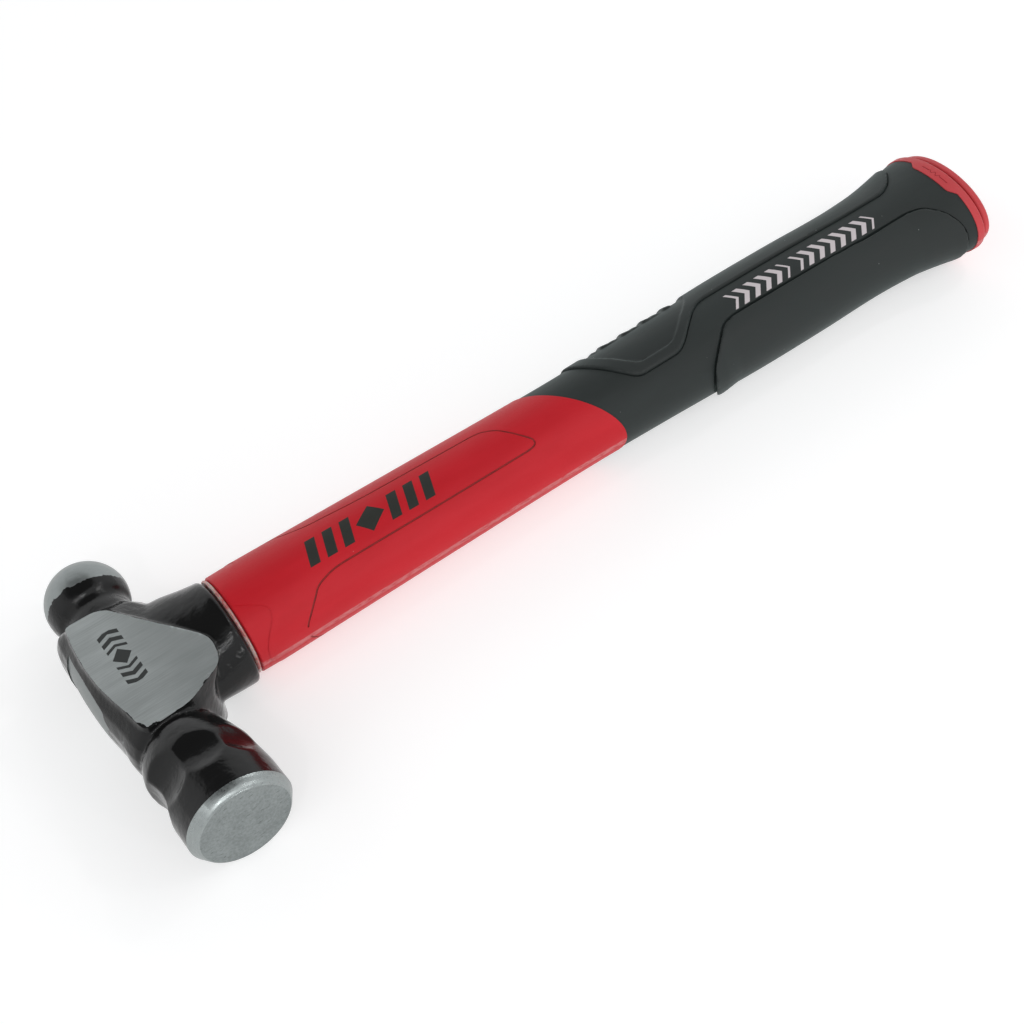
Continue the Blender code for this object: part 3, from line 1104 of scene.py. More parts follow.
@dataclass(frozen=True)
class RedPlastic:
    """Satin moulded red, with a printed device, a scuffed mould seam and an engraved tab, with
    painted shade in the engraved line.

    Attributes:
        red: Main colour.
        deep: Colour of its duller patches.
        seam_colour: Colour of the scuffed seam.
        dust: Colour of the specks of dust.
        engraved: Darker red, painted shade in the line engraved on the tab.
        ink: Colour of the printed device.
        mark_box: Lowest and highest X and Y of the device, along the handle.
        bar_start: Distance of its first bars from its middle.
        bar_pitch: Distance between its bars.
        rubbed_x: Lowest and highest X over which the rubbed end begins.
        seam_z: Lowest and highest Z of the scuffed seam.
        line_z: Lowest and highest Z of the raised line in it.
        seam_y: Highest and lowest Y over which the seam fades in.
        tab_x: Lowest and highest X of the engraved line.
        tab_y: Lowest and highest Y of it.
        zigzag_y: Lowest and highest Y of its zigzag part.
    """

    red: Colour = (0.54, 0.0145, 0.0235)
    deep: Colour = (0.505, 0.012, 0.020)
    seam_colour: Colour = (0.60, 0.16, 0.165)
    dust: Colour = (0.60, 0.30, 0.29)
    engraved: Colour = (0.33, 0.006, 0.012)
    ink: Colour = (0.03, 0.032, 0.028)
    mark_box: tuple[float, float, float, float] = (55.0, 103.0, -7.4, 1.2)
    bar_start: float = 6.4
    bar_pitch: float = 5.9
    rubbed_x: Point = (302.5, 303.0)
    seam_z: Point = (-3.1, -1.0)
    line_z: Point = (-2.25, -1.95)
    seam_y: Point = (-5.0, -9.0)
    tab_x: Point = (305.25, 305.6)
    tab_y: Point = (-6.6, 5.0)
    zigzag_y: Point = (-2.9, 1.5)

    def device(self, sheet: Sheet) -> Socket:
        """Draws a row of slanted bars with a lozenge between them, on the upper side only.

        Args:
            sheet: The material's nodes.

        Returns:
            One on the device and zero beside it.
        """
        x, y, z = sheet.axes()
        left, right, low, high = self.mark_box
        half_x, half_y = (right - left) / 2, (high - low) / 2
        up = sheet.minus(y, (low + high) / 2)
        slant = sheet.minus(x, sheet.times(up, 0.35))
        along = sheet.far(slant, (left + right) / 2)
        across = sheet.math("ABSOLUTE", up)
        wave = sheet.repeat(sheet.minus(along, self.bar_start), self.bar_pitch)
        bars = sheet.within(wave, 0.02, 0.60, 0.015)
        bars = sheet.times(bars, sheet.ramp(along, self.bar_start, self.bar_start + 0.1))
        lozenge = sheet.ramp(sheet.plus(sheet.times(along, 0.85), across), 4.3, 4.15)
        shape = sheet.math("MAXIMUM", bars, lozenge)
        shape = sheet.times(shape, sheet.ramp(along, half_x, half_x - 0.1))
        shape = sheet.times(shape, sheet.ramp(across, half_y, half_y - 0.1))
        return sheet.times(shape, sheet.ramp(z, *UPPER_SIDE))

    def engraving(self, sheet: Sheet) -> Socket:
        """Draws a plain line with a zigzag in its middle across the butt's tab.

        Args:
            sheet: The material's nodes.

        Returns:
            One on the line and zero beside it.
        """
        x, y, z = sheet.axes()
        swing = sheet.times(sheet.within(y, *self.zigzag_y, 0.2), 0.5)
        swing = sheet.times(sheet.math("SINE", sheet.times(y, 2.85)), swing)
        cut = sheet.within(sheet.plus(x, swing), *self.tab_x, 0.12)
        cut = sheet.times(cut, sheet.within(y, *self.tab_y, 0.2))
        return sheet.times(cut, sheet.ramp(z, *UPPER_SIDE))

    def make(self, place: Matrix, marked: bool) -> bpy.types.Material:
        """Builds the material.

        Args:
            place: Placement of the handle.
            marked: Whether it carries the printed device and the engraved line.

        Returns:
            The material.
        """
        sheet = Sheet("red_plastic" if marked else "red_butt_plastic", place)
        x, y, z = sheet.axes()
        cloud = sheet.noise((0.03, 0.12, 0.12), 3.0)
        grain = sheet.noise(1.6, 3.0, 0.6)
        worn = sheet.times(sheet.noise((0.35, 1.4, 1.4), 4.0, 0.7), 1.5)
        near_side = sheet.ramp(y, *self.seam_y)
        band = sheet.times(sheet.within(z, *self.seam_z, 0.3), near_side)
        seam = sheet.times(band, sheet.ramp(worn, 0.4, 0.9))
        line = sheet.times(sheet.within(z, *self.line_z, 0.12), near_side)
        relief = sheet.math("MAXIMUM", line, seam)
        colour = sheet.mix(sheet.ramp(cloud, 0.35, 0.65), self.deep, self.red)
        colour = sheet.mix(seam, colour, self.seam_colour)
        colour = sheet.mix(sheet.times(sheet.specks(0.16, 0.028), 0.5), colour, self.dust)
        rubbed = sheet.times(sheet.ramp(x, *self.rubbed_x), 0.3)
        colour = sheet.mix(rubbed, colour, self.seam_colour)
        if marked:
            colour = sheet.mix(self.device(sheet), colour, self.ink)
            cut = self.engraving(sheet)
            # Painted shade: the engraved line is painted darker red.
            colour = sheet.mix(cut, colour, self.engraved)
            relief = sheet.minus(relief, cut)
        skin = sheet.bump(worn, 0.02, sheet.bump(grain, 0.012))
        sheet.set(
            Base_Color=colour,
            Roughness=sheet.blend(seam, sheet.ramp(grain, 0.3, 0.7, 0.40, 0.50), 0.62),
            Normal=sheet.bump(relief, 0.12, skin),
            Subsurface_Weight=0.06,
            Subsurface_Scale=0.001,
            Specular_IOR_Level=0.2,
        )
        return sheet.material


@dataclass(frozen=True)
class GrooveShadeRed:
    """Red darkened as painted shade in the bottom of the jacket's grooves.

    Attributes:
        colour: Main colour, the red darkened as painted shade.
        deeper_shade: Colour of random patches where the painted shade is deeper.
    """

    colour: Colour = (0.30, 0.008, 0.008)
    deeper_shade: Colour = (0.22, 0.01, 0.01)

    def make(self, place: Matrix) -> bpy.types.Material:
        """Builds the material.

        Args:
            place: Placement of the handle.

        Returns:
            The material.
        """
        sheet = Sheet("red_groove", place)
        # Painted shade in the grooves, deeper in random patches.
        deeper_share = sheet.ramp(sheet.noise(0.7, 3.0), 0.35, 0.7)
        sheet.set(Base_Color=sheet.mix(deeper_share, self.colour, self.deeper_shade), Roughness=0.55)
        return sheet.material


@dataclass(frozen=True)
class Rubber:
    """Fine matt black soft moulding with a faint bloom and a little dust.

    Attributes:
        name: Name of the material.
        black: Main colour.
        worn: Colour where it is rubbed.
        dust: Colour of the specks of dust.
        bloom: Tint of the bloom.
        ink: Colour of the printed device.
        mark_box: Lowest and highest Y of the device, or None where there is none.
        groups: The two stretches along X that the device fills.
        bar_pitch: Distance between its chevrons.
    """

    name: str
    black: Colour = (0.0155, 0.0195, 0.0187)
    worn: Colour = (0.0205, 0.0255, 0.0247)
    dust: Colour = (0.17, 0.18, 0.175)
    bloom: Colour = (0.66, 0.90, 0.86)
    ink: Colour = (0.60, 0.545, 0.56)
    mark_box: Point | None = None
    groups: tuple[Point, Point] = ((218.0, 240.5), (245.0, 276.5))
    bar_pitch: float = 4.5

    def device(self, sheet: Sheet, low: float, high: float) -> Socket:
        """Draws two groups of chevrons, on the upper side only.

        Args:
            sheet: The material's nodes.
            low: Lowest Y.
            high: Highest Y.

        Returns:
            One on the device and zero beside it.
        """
        x, y, z = sheet.axes()
        half = (high - low) / 2
        up = sheet.far(y, (low + high) / 2)
        bent = sheet.plus(x, sheet.times(up, 0.8))
        bars = sheet.within(sheet.repeat(bent, self.bar_pitch), 0.25, 0.70, 0.02)
        start, end = (sheet.within(bent, *group, 0.05) for group in self.groups)
        bars = sheet.times(bars, sheet.math("MAXIMUM", start, end))
        bars = sheet.times(bars, sheet.ramp(up, half, half - 0.1))
        return sheet.times(bars, sheet.ramp(z, *UPPER_SIDE))

    def make(self, place: Matrix) -> bpy.types.Material:
        """Builds the material.

        Args:
            place: Placement of the handle.

        Returns:
            The material.
        """
        sheet = Sheet(self.name, place)
        cloud = sheet.noise((0.04, 0.13, 0.13), 3.0, 0.6)
        grain = sheet.noise(3.2, 2.0, 0.6)
        colour = sheet.mix(sheet.ramp(cloud, 0.35, 0.7), self.black, self.worn)
        colour = sheet.mix(sheet.times(sheet.specks(0.19, 0.045), 0.75), colour, self.dust)
        if self.mark_box is not None:
            colour = sheet.mix(self.device(sheet, *self.mark_box), colour, self.ink)
        sheet.set(
            Base_Color=colour,
            Roughness=sheet.ramp(cloud, 0.3, 0.7, 0.56, 0.66),
            Specular_IOR_Level=0.32,
            Sheen_Weight=0.10,
            Sheen_Roughness=0.45,
            Sheen_Tint=self.bloom,
            Normal=sheet.bump(cloud, 0.10, sheet.bump(grain, 0.018)),
        )
        return sheet.material


@dataclass(frozen=True)
class Resin:
    """Pale, half clear cast resin, stained red where it meets the jacket.

    Attributes:
        pale: Main colour.
        stain: Colour of its stains.
    """

    pale: Colour = (0.50, 0.36, 0.33)
    stain: Colour = (0.46, 0.12, 0.11)

    def make(self, place: Matrix) -> bpy.types.Material:
        """Builds the material.

        Args:
            place: Placement of the handle.

        Returns:
            The material.
        """
        sheet = Sheet("cast_resin", place)
        blotch = sheet.noise(0.45, 3.0, 0.6)
        sheet.set(
            Base_Color=sheet.mix(sheet.ramp(blotch, 0.4, 0.65), self.pale, self.stain),
            Roughness=sheet.ramp(blotch, 0.3, 0.7, 0.28, 0.42),
            Subsurface_Weight=0.35,
            Subsurface_Scale=0.0015,
            Normal=sheet.bump(sheet.noise(0.8, 2.0), 0.15),
        )
        return sheet.material


@dataclass(frozen=True)
class FibreRod:
    """Dark composite with its fibres along the rod.

    Attributes:
        dark: Colour between the fibres.
        light: Colour of the fibres.
    """

    dark: Colour = (0.028, 0.027, 0.025)
    light: Colour = (0.075, 0.072, 0.064)

    def make(self, place: Matrix) -> bpy.types.Material:
        """Builds the material.

        Args:
            place: Placement of the handle.

        Returns:
            The material.
        """
        sheet = Sheet("fibre_rod", place)
        strands = sheet.noise((0.03, 1.8, 1.8), 4.0, 0.7)
        sheet.set(
            Base_Color=sheet.mix(sheet.ramp(strands, 0.35, 0.65), self.dark, self.light),
            Roughness=sheet.ramp(strands, 0.3, 0.7, 0.42, 0.6),
            Normal=sheet.bump(strands, 0.03),
        )
        return sheet.material


# ---------------------------------------------------------------- Head


@dataclass
class Head:
    """The forged head: striking end, scooped neck, body, barrel and ball in one piece of steel.

    Attributes:
        placement: Where the hammer stands.
        paint: Finish of the raw forging.
        ground: Finish of the cheeks and the crown.
        steel: Finish of the face and its chamfer.
        face_y: Place of the striking face along Y.
        face_radius: Radius of the striking end.
        flat_radius: Radius of the flat inside the chamfer.
        chamfer: Length of the chamfer along Y.
        striking_line: Line that turns the striking end, from outside the face to its neck.
        offset: How far the neck sits towards the crown.
        offset_y: Where the neck begins to leave the axis, and over what length it does.
        scoops: Number of hollows round the neck.
        scoop_radius: Radius of the cutter that mills them.
        scoop_depth: Their depth.
        scoop_y: Their middle along Y.
        ball_neck: Line that turns the ball's neck.
        ball_y: Middle of the ball along Y.
        ball_radius: Radius of the ball.
        ball_start: Angle at which the ball leaves its neck, in degrees from its far end.
        cheek_z: Height of the ground cheeks.
        cheek_extra: How far the grinding reaches past the body's outline.
        corner: Rounding of the outlines' corners.
        upper: Outline of the body at the upper cheek.
        lower: Outline of the body at the lower cheek.
        waist: Outline of the body halfway down.
        levels: Heights of the body's sections, and their share of the waist's outline.
        barrel: Shape of the barrel that takes the handle.
        mouth: Where the barrel's mouth begins to round, and where it ends.
        socket: Hollow in the barrel.
        crown_middle: Middle of the dome that the crown is ground to.
        crown_size: Half its size.
        stone: Corners of the block that the crown is ground in.
        voxel: Size of the forging's faces.
        fade: Distance from the paint's border past which its wear no longer changes.
    """

    placement: Placement
    paint: HeadPaint = HeadPaint()
    ground: GroundSteel = GroundSteel()
    steel: FaceSteel = FaceSteel()
    face_y: float = FACE_Y
    face_radius: float = 16.0
    flat_radius: float = 14.0
    chamfer: float = 3.2
    striking_line: tuple[Point, ...] = (
        (-60.6, 0.0),
        (-60.6, 16.0),
        (-48.0, 16.0),
        (-40.0, 15.9),
        (-36.5, 15.7),
        (-33.0, 15.0),
        (-30.0, 14.2),
        (-27.0, 13.2),
        (-22.0, 10.5),
        (-10.0, 8.0),
        (-10.0, 0.0),
    )
    offset: float = 1.6
    offset_y: Point = (-50.0, 18.0)
    scoops: int = 8
    scoop_radius: float = 14.0
    scoop_depth: float = 1.9
    scoop_y: float = -40.2
    ball_neck: tuple[Point, ...] = (
        (12.0, 0.0),
        (12.0, 9.0),
        (22.0, 10.8),
        (27.0, 10.4),
        (29.5, 10.0),
        (31.2, 10.5),
    )
    ball_y: float = 37.9
    ball_radius: float = 12.9
    ball_start: float = 116.0
    cheek_z: float = 13.4
    cheek_extra: float = 1.2
    corner: float = 3.2
    crown_middle: Vector3 = (-1.85, 1.5, 0.0)
    crown_size: Vector3 = (14.95, 46.5, 19.2)
    stone: tuple[Vector3, Vector3] = ((-30.0, -18.4, -12.5), (-11.0, 15.6, 12.5))
    voxel: float = 0.5
    fade: float = 4.0
    upper: tuple[Point, ...] = (
        (-11.0, 22.3),
        (0.6, 22.0),
        (20.9, -8.5),
        (18.9, -18.0),
        (5.7, -24.5),
        (-8.8, -24.9),
        (-9.7, -20.0),
        (-10.2, -16.0),
        (-11.2, -11.0),
        (-12.5, -3.0),
        (-12.8, 6.0),
        (-12.1, 14.5),
        (-11.4, 19.5),
    )
    lower: tuple[Point, ...] = (
        (-11.0, 22.3),
        (0.6, 22.0),
        (17.6, -6.5),
        (15.4, -16.0),
        (4.0, -22.6),
        (-8.8, -24.0),
        (-9.7, -20.0),
        (-10.2, -16.0),
        (-11.2, -11.0),
        (-12.5, -3.0),
        (-12.8, 6.0),
        (-12.1, 14.5),
        (-11.4, 19.5),
    )
    waist: tuple[Point, ...] = (
        (-15.1, 27.2),
        (11.5, 26.6),
        (21.5, 12.0),
        (14.4, -19.5),
        (7.0, -25.8),
        (-14.9, -27.0),
        (-15.8, -21.5),
        (-15.5, -17.6),
        (-16.1, -12.0),
        (-17.4, -3.0),
        (-17.5, 6.0),
        (-16.4, 17.0),
        (-16.5, 21.5),
    )
    levels: tuple[Point, ...] = (
        (1.13, -0.16),
        (1.0, 0.0),
        (0.9, 0.06),
        (0.8, 0.28),
        (0.62, 0.66),
        (0.34, 0.92),
        (0.0, 1.0),
    )
    barrel: Profile = Profile(
        (
            Section(-4.0, 19.0, 12.2, 1.5),
            Section(8.0, 20.5, 12.6, 2.5),
            Section(16.0, 20.3, 13.2, 2.3),
            Section(22.0, 19.0, 14.6, 1.3),
            Section(26.6, 17.9, 15.8, 0.7),
            Section(27.6, 17.8, 15.8, 0.7),
        )
    )
    mouth: Point = (27.6, MOUTH_X)
    socket: tuple[Section, ...] = (
        Section(-8.0, 13.2, 10.2, 0.7),
        Section(23.4, 14.6, 11.8, 0.7),
        Section(31.0, 14.6, 11.8, 0.7),
    )

    def body(self) -> bmesh.types.BMesh:
        """Skins the body from below the lower cheek to above the upper one.

        Returns:
            The solid.
        """
        heights = [(share * self.cheek_z, mix) for share, mix in self.levels]
        heights += [(-z, mix) for z, mix in reversed(heights[:-1])]
        upper, lower, waist = (
            rounded(outline, self.corner, 4) for outline in (self.upper, self.lower, self.waist)
        )
        bm = bmesh.new()

        def rings() -> Iterator[list[bmesh.types.BMEdge]]:
            """Adds each outline in turn, and fills the first and the last.

            Returns:
                The edges of each.
            """
            for number, (z, mix) in enumerate(heights):
                verts = []
                for small, large in zip(upper if z > 0 else lower, waist):
                    x, y = Vector(small).lerp(Vector(large), mix)
                    verts.append(bm.verts.new((x, y, z)))
                edges = [bm.edges.new((verts[i - 1], verts[i])) for i in range(len(verts))]
                if number in (0, len(heights) - 1):
                    bm.faces.new(verts)
                yield edges

        return bridged(bm, rings())

    def striking_end(self) -> bpy.types.Object:
        """Turns the striking end and its neck, and mills the hollows round the neck.

        Returns:
            The striking end.
        """
        bm = turned(self.striking_line)
        start, length = self.offset_y
        for vert in bm.verts:
            vert.co.x -= self.offset * min(max((vert.co.y - start) / length, 0.0), 1.0)
        end = make_object("striking_end", bm)
        reach = self.face_radius - self.scoop_depth + self.scoop_radius
        for number in range(self.scoops):
            turn = Matrix.Rotation(number * 2 * pi / self.scoops, 4, "Y")
            tool = bmesh.new()
            bmesh.ops.create_cone(
                tool,
                cap_ends=True,
                segments=96,
                radius1=self.scoop_radius,
                radius2=self.scoop_radius,
                depth=34.0,
                matrix=turn @ Matrix.Translation((reach, self.scoop_y, 0.0)),
            )
            carve(end, tool)
        return end

    def peen(self) -> bmesh.types.BMesh:
        """Turns the ball and its neck.

        Returns:
            The solid.
        """
        profile = list(self.ball_neck)
        steps = 36
        for number in range(steps):
            angle = radians(self.ball_start) * (1 - number / steps)
            y = self.ball_y + self.ball_radius * cos(angle)
            profile.append((y, self.ball_radius * sin(angle)))
        profile.append((self.ball_y + self.ball_radius, 0.0))
        return turned(profile)

    def forging(self, material: bpy.types.Material) -> bpy.types.Object:
        """Joins the solids into one skin with forged fillets.

        Args:
            material: Material of the raw forging.

        Returns:
            The forging.
        """
        end = self.striking_end()
        rim, mouth = self.mouth
        start = self.barrel.stations[0].x
        barrel = loft(self.barrel.run(start, rim, 1.0) + [self.barrel.at(rim).grown(-0.9, mouth)])
        bm = bmesh.new()
        bm.from_mesh(end.data)
        for part in (self.body(), barrel, self.peen()):
            mesh = bpy.data.meshes.new("part")
            part.to_mesh(mesh)
            part.free()
            bm.from_mesh(mesh)
            bpy.data.meshes.remove(mesh)
        bpy.data.objects.remove(end)
        head = make_object("hammer_head", bm, material)
        reskin(head, self.voxel, 9)
        return head

    def grind(self, head: bpy.types.Object, ground: bpy.types.Material) -> None:
        """Grinds both cheeks flat and the crown to a low dome.

        Args:
            head: The forging.
            ground: Material of the ground steel.
        """
        for outline, side in ((self.upper, 1), (self.lower, -1)):
            wide = widened(rounded(outline, self.corner), self.cheek_extra)
            low, high = sorted((side * self.cheek_z, side * (self.cheek_z + 6.0)))
            carve(head, prism(wide, low, high), Cut.TAKE, ground)
        stone = make_object("stone", block(*self.stone), ground)
        dome = bmesh.new()
        bmesh.ops.create_uvsphere(
            dome,
            u_segments=FORGED,
            v_segments=96,
            radius=1.0,
            matrix=Matrix.Translation(self.crown_middle)
            @ Matrix.Diagonal((*self.crown_size, 1.0)),
        )
        carve(stone, dome)
        carve(head, stone)

    def face(
        self,
        head: bpy.types.Object,
        flat: bpy.types.Material,
        slope: bpy.types.Material,
    ) -> None:
        """Faces the striking end and turns its chamfer.

        Args:
            head: The forging.
            flat: Material of the flat.
            slope: Material of the chamfer.
        """
        y, inner, outer = self.face_y, self.flat_radius, self.face_radius
        carve(head, block((-25.0, y - 8.0, -25.0), (25.0, y, 25.0)), Cut.TAKE, flat)
        cutter = (
            (y - 1.0, inner - 0.5),
            (y + 0.03, inner - 0.25),
            (y + 0.16, inner),
            (y + 0.5, inner + 0.32),
            (y + self.chamfer, outer + 0.02),
            (y + self.chamfer + 0.15, outer + 3.0),
            (y - 1.0, outer + 3.0),
        )
        carve(head, turned(cutter, 192, closed=True), Cut.TAKE, slope)

    def divide(self, bm: bmesh.types.BMesh, ground: int) -> None:
        """Cuts the flat cheeks into squares, so that they can carry their edges' wear.

        Args:
            bm: Mesh of the head.
            ground: Number of the ground steel's material.
        """
        geom = [f for f in bm.faces if f.material_index == ground and abs(f.normal.z) > 0.999]
        geom += list({item for f in geom for item in (*f.edges, *f.verts)})
        for axis, start, stop in ((0, -14, 23), (1, -26, 25)):
            for place in range(start, stop):
                spot, normal = Vector((0, 0, 0)), Vector((0, 0, 0))
                spot[axis], normal[axis] = place + 0.37, 1.0
                made = bmesh.ops.bisect_plane(
                    bm, geom=geom, dist=MERGE, plane_co=spot, plane_no=normal
                )
                geom = made["geom"]

    def measure(self, head: bpy.types.Object) -> None:
        """Stores how far each point lies inside the bare steel.

        Args:
            head: The finished head.
        """
        mesh = head.data
        names = [material.name for material in mesh.materials]
        painted = names.index("black_paint")
        bm = bmesh.new()
        bm.from_mesh(mesh)
        self.divide(bm, names.index("ground_steel"))
        border = [
            edge
            for edge in bm.edges
            if len({face.material_index == painted for face in edge.link_faces}) == 2
        ]
        tree = KDTree(len(border) * 3)
        for number, edge in enumerate(border):
            first, last = (vert.co for vert in edge.verts)
            for part in range(3):
                tree.insert(first.lerp(last, part / 2), number * 3 + part)
        tree.balance()
        layer = bm.verts.layers.float.new("edge")
        for vert in bm.verts:
            kinds = {face.material_index == painted for face in vert.link_faces}
            distance = min(tree.find(vert.co)[2], self.fade)
            vert[layer] = 0.0 if len(kinds) == 2 else -distance if kinds == {True} else distance
        self.brush(bm, names.index("chamfer_steel"))
        bm.to_mesh(mesh)
        bm.free()

    def brush(self, bm: bmesh.types.BMesh, slope: int) -> None:
        """Stores the way round the chamfer in which it was brushed.

        Args:
            bm: Mesh of the head.
            slope: Number of the chamfer's material.
        """
        brushed = bm.loops.layers.uv.new("brush")
        for face in bm.faces:
            if face.material_index != slope:
                continue
            centre = face.calc_center_median()
            middle = Vector((centre.x, centre.z))
            for loop in face.loops:
                spot = Vector((loop.vert.co.x, loop.vert.co.z))
                bend = spot.angle_signed(middle, 0.0)
                loop[brushed].uv = (bend * 10.0, spot.length)

    def build(self) -> bpy.types.Object:
        """Builds and dresses the head.

        Returns:
            The piece.
        """
        place = self.placement.head()
        paint = self.paint.make(place)
        ground = self.ground.make(place, self.paint.black)
        head = self.forging(paint)
        self.grind(head, ground)
        self.face(head, self.steel.flat(place), self.steel.chamfer(place))
        carve(head, loft(self.socket, 96))
        self.measure(head)
        return finish_piece(head, place, Slot.STEEL, ["head"], 38.0)


# ---------------------------------------------------------------- Handle


@dataclass
class Handle:
    """The moulded handle: jacket, grip sleeve, two pads, end plate and the resin bead.

    Attributes:
        placement: Where the hammer stands.
        profile: Outer shape of the finished handle.
        jacket_x: Start of the jacket.
        join_x: Place of the slanted colour join on the handle's middle line.
        join_slope: How far the join runs back for each millimetre across.
        wall: Thickness of the grip sleeve.
        gap: Gap between the sleeve and the jacket.
        step: Height of the jacket over the sleeve.
        grip_end: End of the sleeve.
        flange_end: End of the jacket's flange.
        tab: Outline of the flange's tab, with its X from the sleeve's end.
        plate: Start and end of the end plate, and half its width and height.
        plug: Half the width and height of the plate's plug, and its length.
        core: Half the width and height of the bore for the core.
        bead_x: Start of the resin bead.
        groove: Radius of the grooves in the jacket.
        pad_depth: Depth of the rooms for the pads.
        pad_gap: Gap under the pads.
        palm_groove: Width of the groove round the palm pad.
        thumb_groove: Width of the groove round the thumb pad.
        tongue: Line of the jacket's groove, as distance along and degrees round the handle.
        nail_outlines: Outlines of the shallow flats by the barrel.
        nail_depth: Depth of the flats.
        palm: Outline of the palm pad.
        thumb: Outline of the thumb pad.
        ribs: Outline of the steps across the thumb pad.
        rib_start: Start of the first step.
        rib_pitch: Length of a pair of steps, one tall and one low.
        hollow: Outline of the thumb pad's hollow.
        hollow_depth: Depth of the hollow under the handle's skin.
    """

    placement: Placement
    profile: Profile = Profile(
        (
            Section(29.0, 16.9, 14.9),
            Section(36.0, 17.1, 14.9),
            Section(60.0, 16.8, 14.6),
            Section(100.0, 16.4, 13.9),
            Section(150.0, 15.9, 13.5),
            Section(176.0, 16.4, 13.7),
            Section(200.0, 17.1, 14.2),
            Section(220.0, 17.7, 14.5),
            Section(245.0, 17.7, 14.5),
            Section(268.0, 17.5, 13.9),
            Section(284.0, 18.6, 13.9),
            Section(296.0, 20.6, 14.2),
            Section(304.0, 22.6, 14.6),
            Section(312.0, 22.9, 14.7),
        )
    )
    jacket_x: float = 30.2
    join_x: float = 150.4
    join_slope: float = -0.785
    wall: float = 2.6
    gap: float = 0.3
    step: float = 0.3
    grip_end: float = 305.4
    flange_end: float = 308.6
    tab: tuple[Point, ...] = ((-2.2, -8.6), (5.0, -18.0), (5.0, 16.5), (-2.2, 7.1))
    plate: tuple[float, float, float, float] = (309.6, 312.6, 21.3, 13.6)
    plug: Vector3 = (9.5, 7.0, 10.0)
    core: Point = (10.3, 7.8)
    bead_x: float = 28.7
    groove: float = 0.30
    pad_depth: float = 1.3
    pad_gap: float = 0.25
    palm_groove: float = 0.8
    thumb_groove: float = 0.45
    tongue: tuple[Point, ...] = (
        (46.2, -3.0),
        (46.9, 12.0),
        (50.0, 26.0),
        (54.9, 45.0),
        (61.5, 51.8),
        (133.8, 52.4),
        (134.8, 60.0),
        (127.1, 95.7),
        (122.5, 106.4),
        (80.4, 109.7),
        (62.0, 116.0),
        (55.8, 125.4),
        (50.0, 143.0),
        (47.5, 160.0),
        (46.5, 182.0),
    )
    nail_outlines: tuple[tuple[Point, ...], ...] = (
        ((22.0, -4.1), (29.0, -4.3), (34.1, -6.9), (38.3, -9.4), (39.7, -11.3), (38.2, -13.6),
         (32.3, -17.6), (30.0, -22.0), (22.0, -22.0)),
        ((22.0, -2.6), (28.5, -2.4), (33.0, 2.2), (36.2, 6.9), (39.6, 10.3), (39.0, 13.0),
         (36.0, 16.0), (33.0, 22.0), (22.0, 22.0)),
    )
    nail_depth: float = 0.16
    palm: tuple[Point, ...] = (
        (197.2, -28.0),
        (197.2, -17.2),
        (203.5, -12.6),
        (209.0, -8.0),
        (214.0, -7.3),
        (286.5, -7.8),
        (292.0, -9.2),
        (297.2, -14.0),
        (301.0, -20.5),
        (302.0, -28.0),
    )
    thumb: tuple[Point, ...] = (
        (160.6, 28.0),
        (160.8, 12.0),
        (163.7, 5.9),
        (171.0, -4.0),
        (175.0, -7.9),
        (190.8, -8.0),
        (194.6, -6.0),
        (204.4, 2.3),
        (208.6, 4.3),
        (280.5, 4.4),
        (286.5, 4.2),
        (292.0, 7.2),
        (298.0, 14.0),
        (300.0, 28.0),
    )
    ribs: tuple[Point, ...] = ((171.5, 28.0), (171.5, 11.8), (203.0, 11.8), (203.0, 28.0))
    rib_start: float = 175.0
    rib_pitch: float = 8.3
    hollow_depth: float = 0.3
    hollow: tuple[Point, ...] = (
        (167.5, 28.0),
        (167.0, 12.0),
        (169.0, 6.6),
        (175.0, -1.6),
        (178.0, -4.7),
        (190.0, -4.8),
        (193.5, -2.9),
        (203.4, 5.8),
        (207.0, 9.6),
        (208.5, 15.0),
        (208.5, 28.0),
    )

    def on_skin(self, x: float, angle: float, over: float = 0.0) -> Vector:
        """Gives a point on the handle's surface.

        Args:
            x: Distance along the handle.
            angle: Degrees round it, from the face side over the top.
            over: Height above the surface.

        Returns:
            The point.
        """
        here = self.profile.at(x).grown(over)
        turn = radians(angle)
        return Vector((x, -here.half_y * cos(turn), here.half_z * sin(turn)))

    def inlay(
        self,
        outline: Sequence[Point],
        low: float,
        high: Callable[[float], float],
        material: bpy.types.Material,
        corner: float = 2.5,
        spacing: float = 1.5,
    ) -> bpy.types.Object:
        """Makes the part of a shell along the handle's surface that lies inside an outline.

        Args:
            outline: Corners in X and Y, which run out past the handle's side.
            low: Height of the shell's inside over the surface.
            high: Height of its outside over the surface, by distance along the handle.
            material: Its material.
            corner: How far the outline's corners are rounded.
            spacing: Distance between the sections of its outside.

        Returns:
            The solid.
        """
        start = min(x for x, _ in outline) - 4.0
        end = max(x for x, _ in outline) + 4.0
        outer = [item.grown(high(item.x)) for item in self.profile.run(start, end, spacing)]
        shell = make_object("inlay", loft(outer, MOULDED), material)
        carve(shell, loft(self.profile.run(start - 3.0, end + 3.0, 2.0, low), MOULDED))
        carve(shell, prism(rounded(outline, corner), -40.0, 40.0), Cut.KEEP)
        return shell

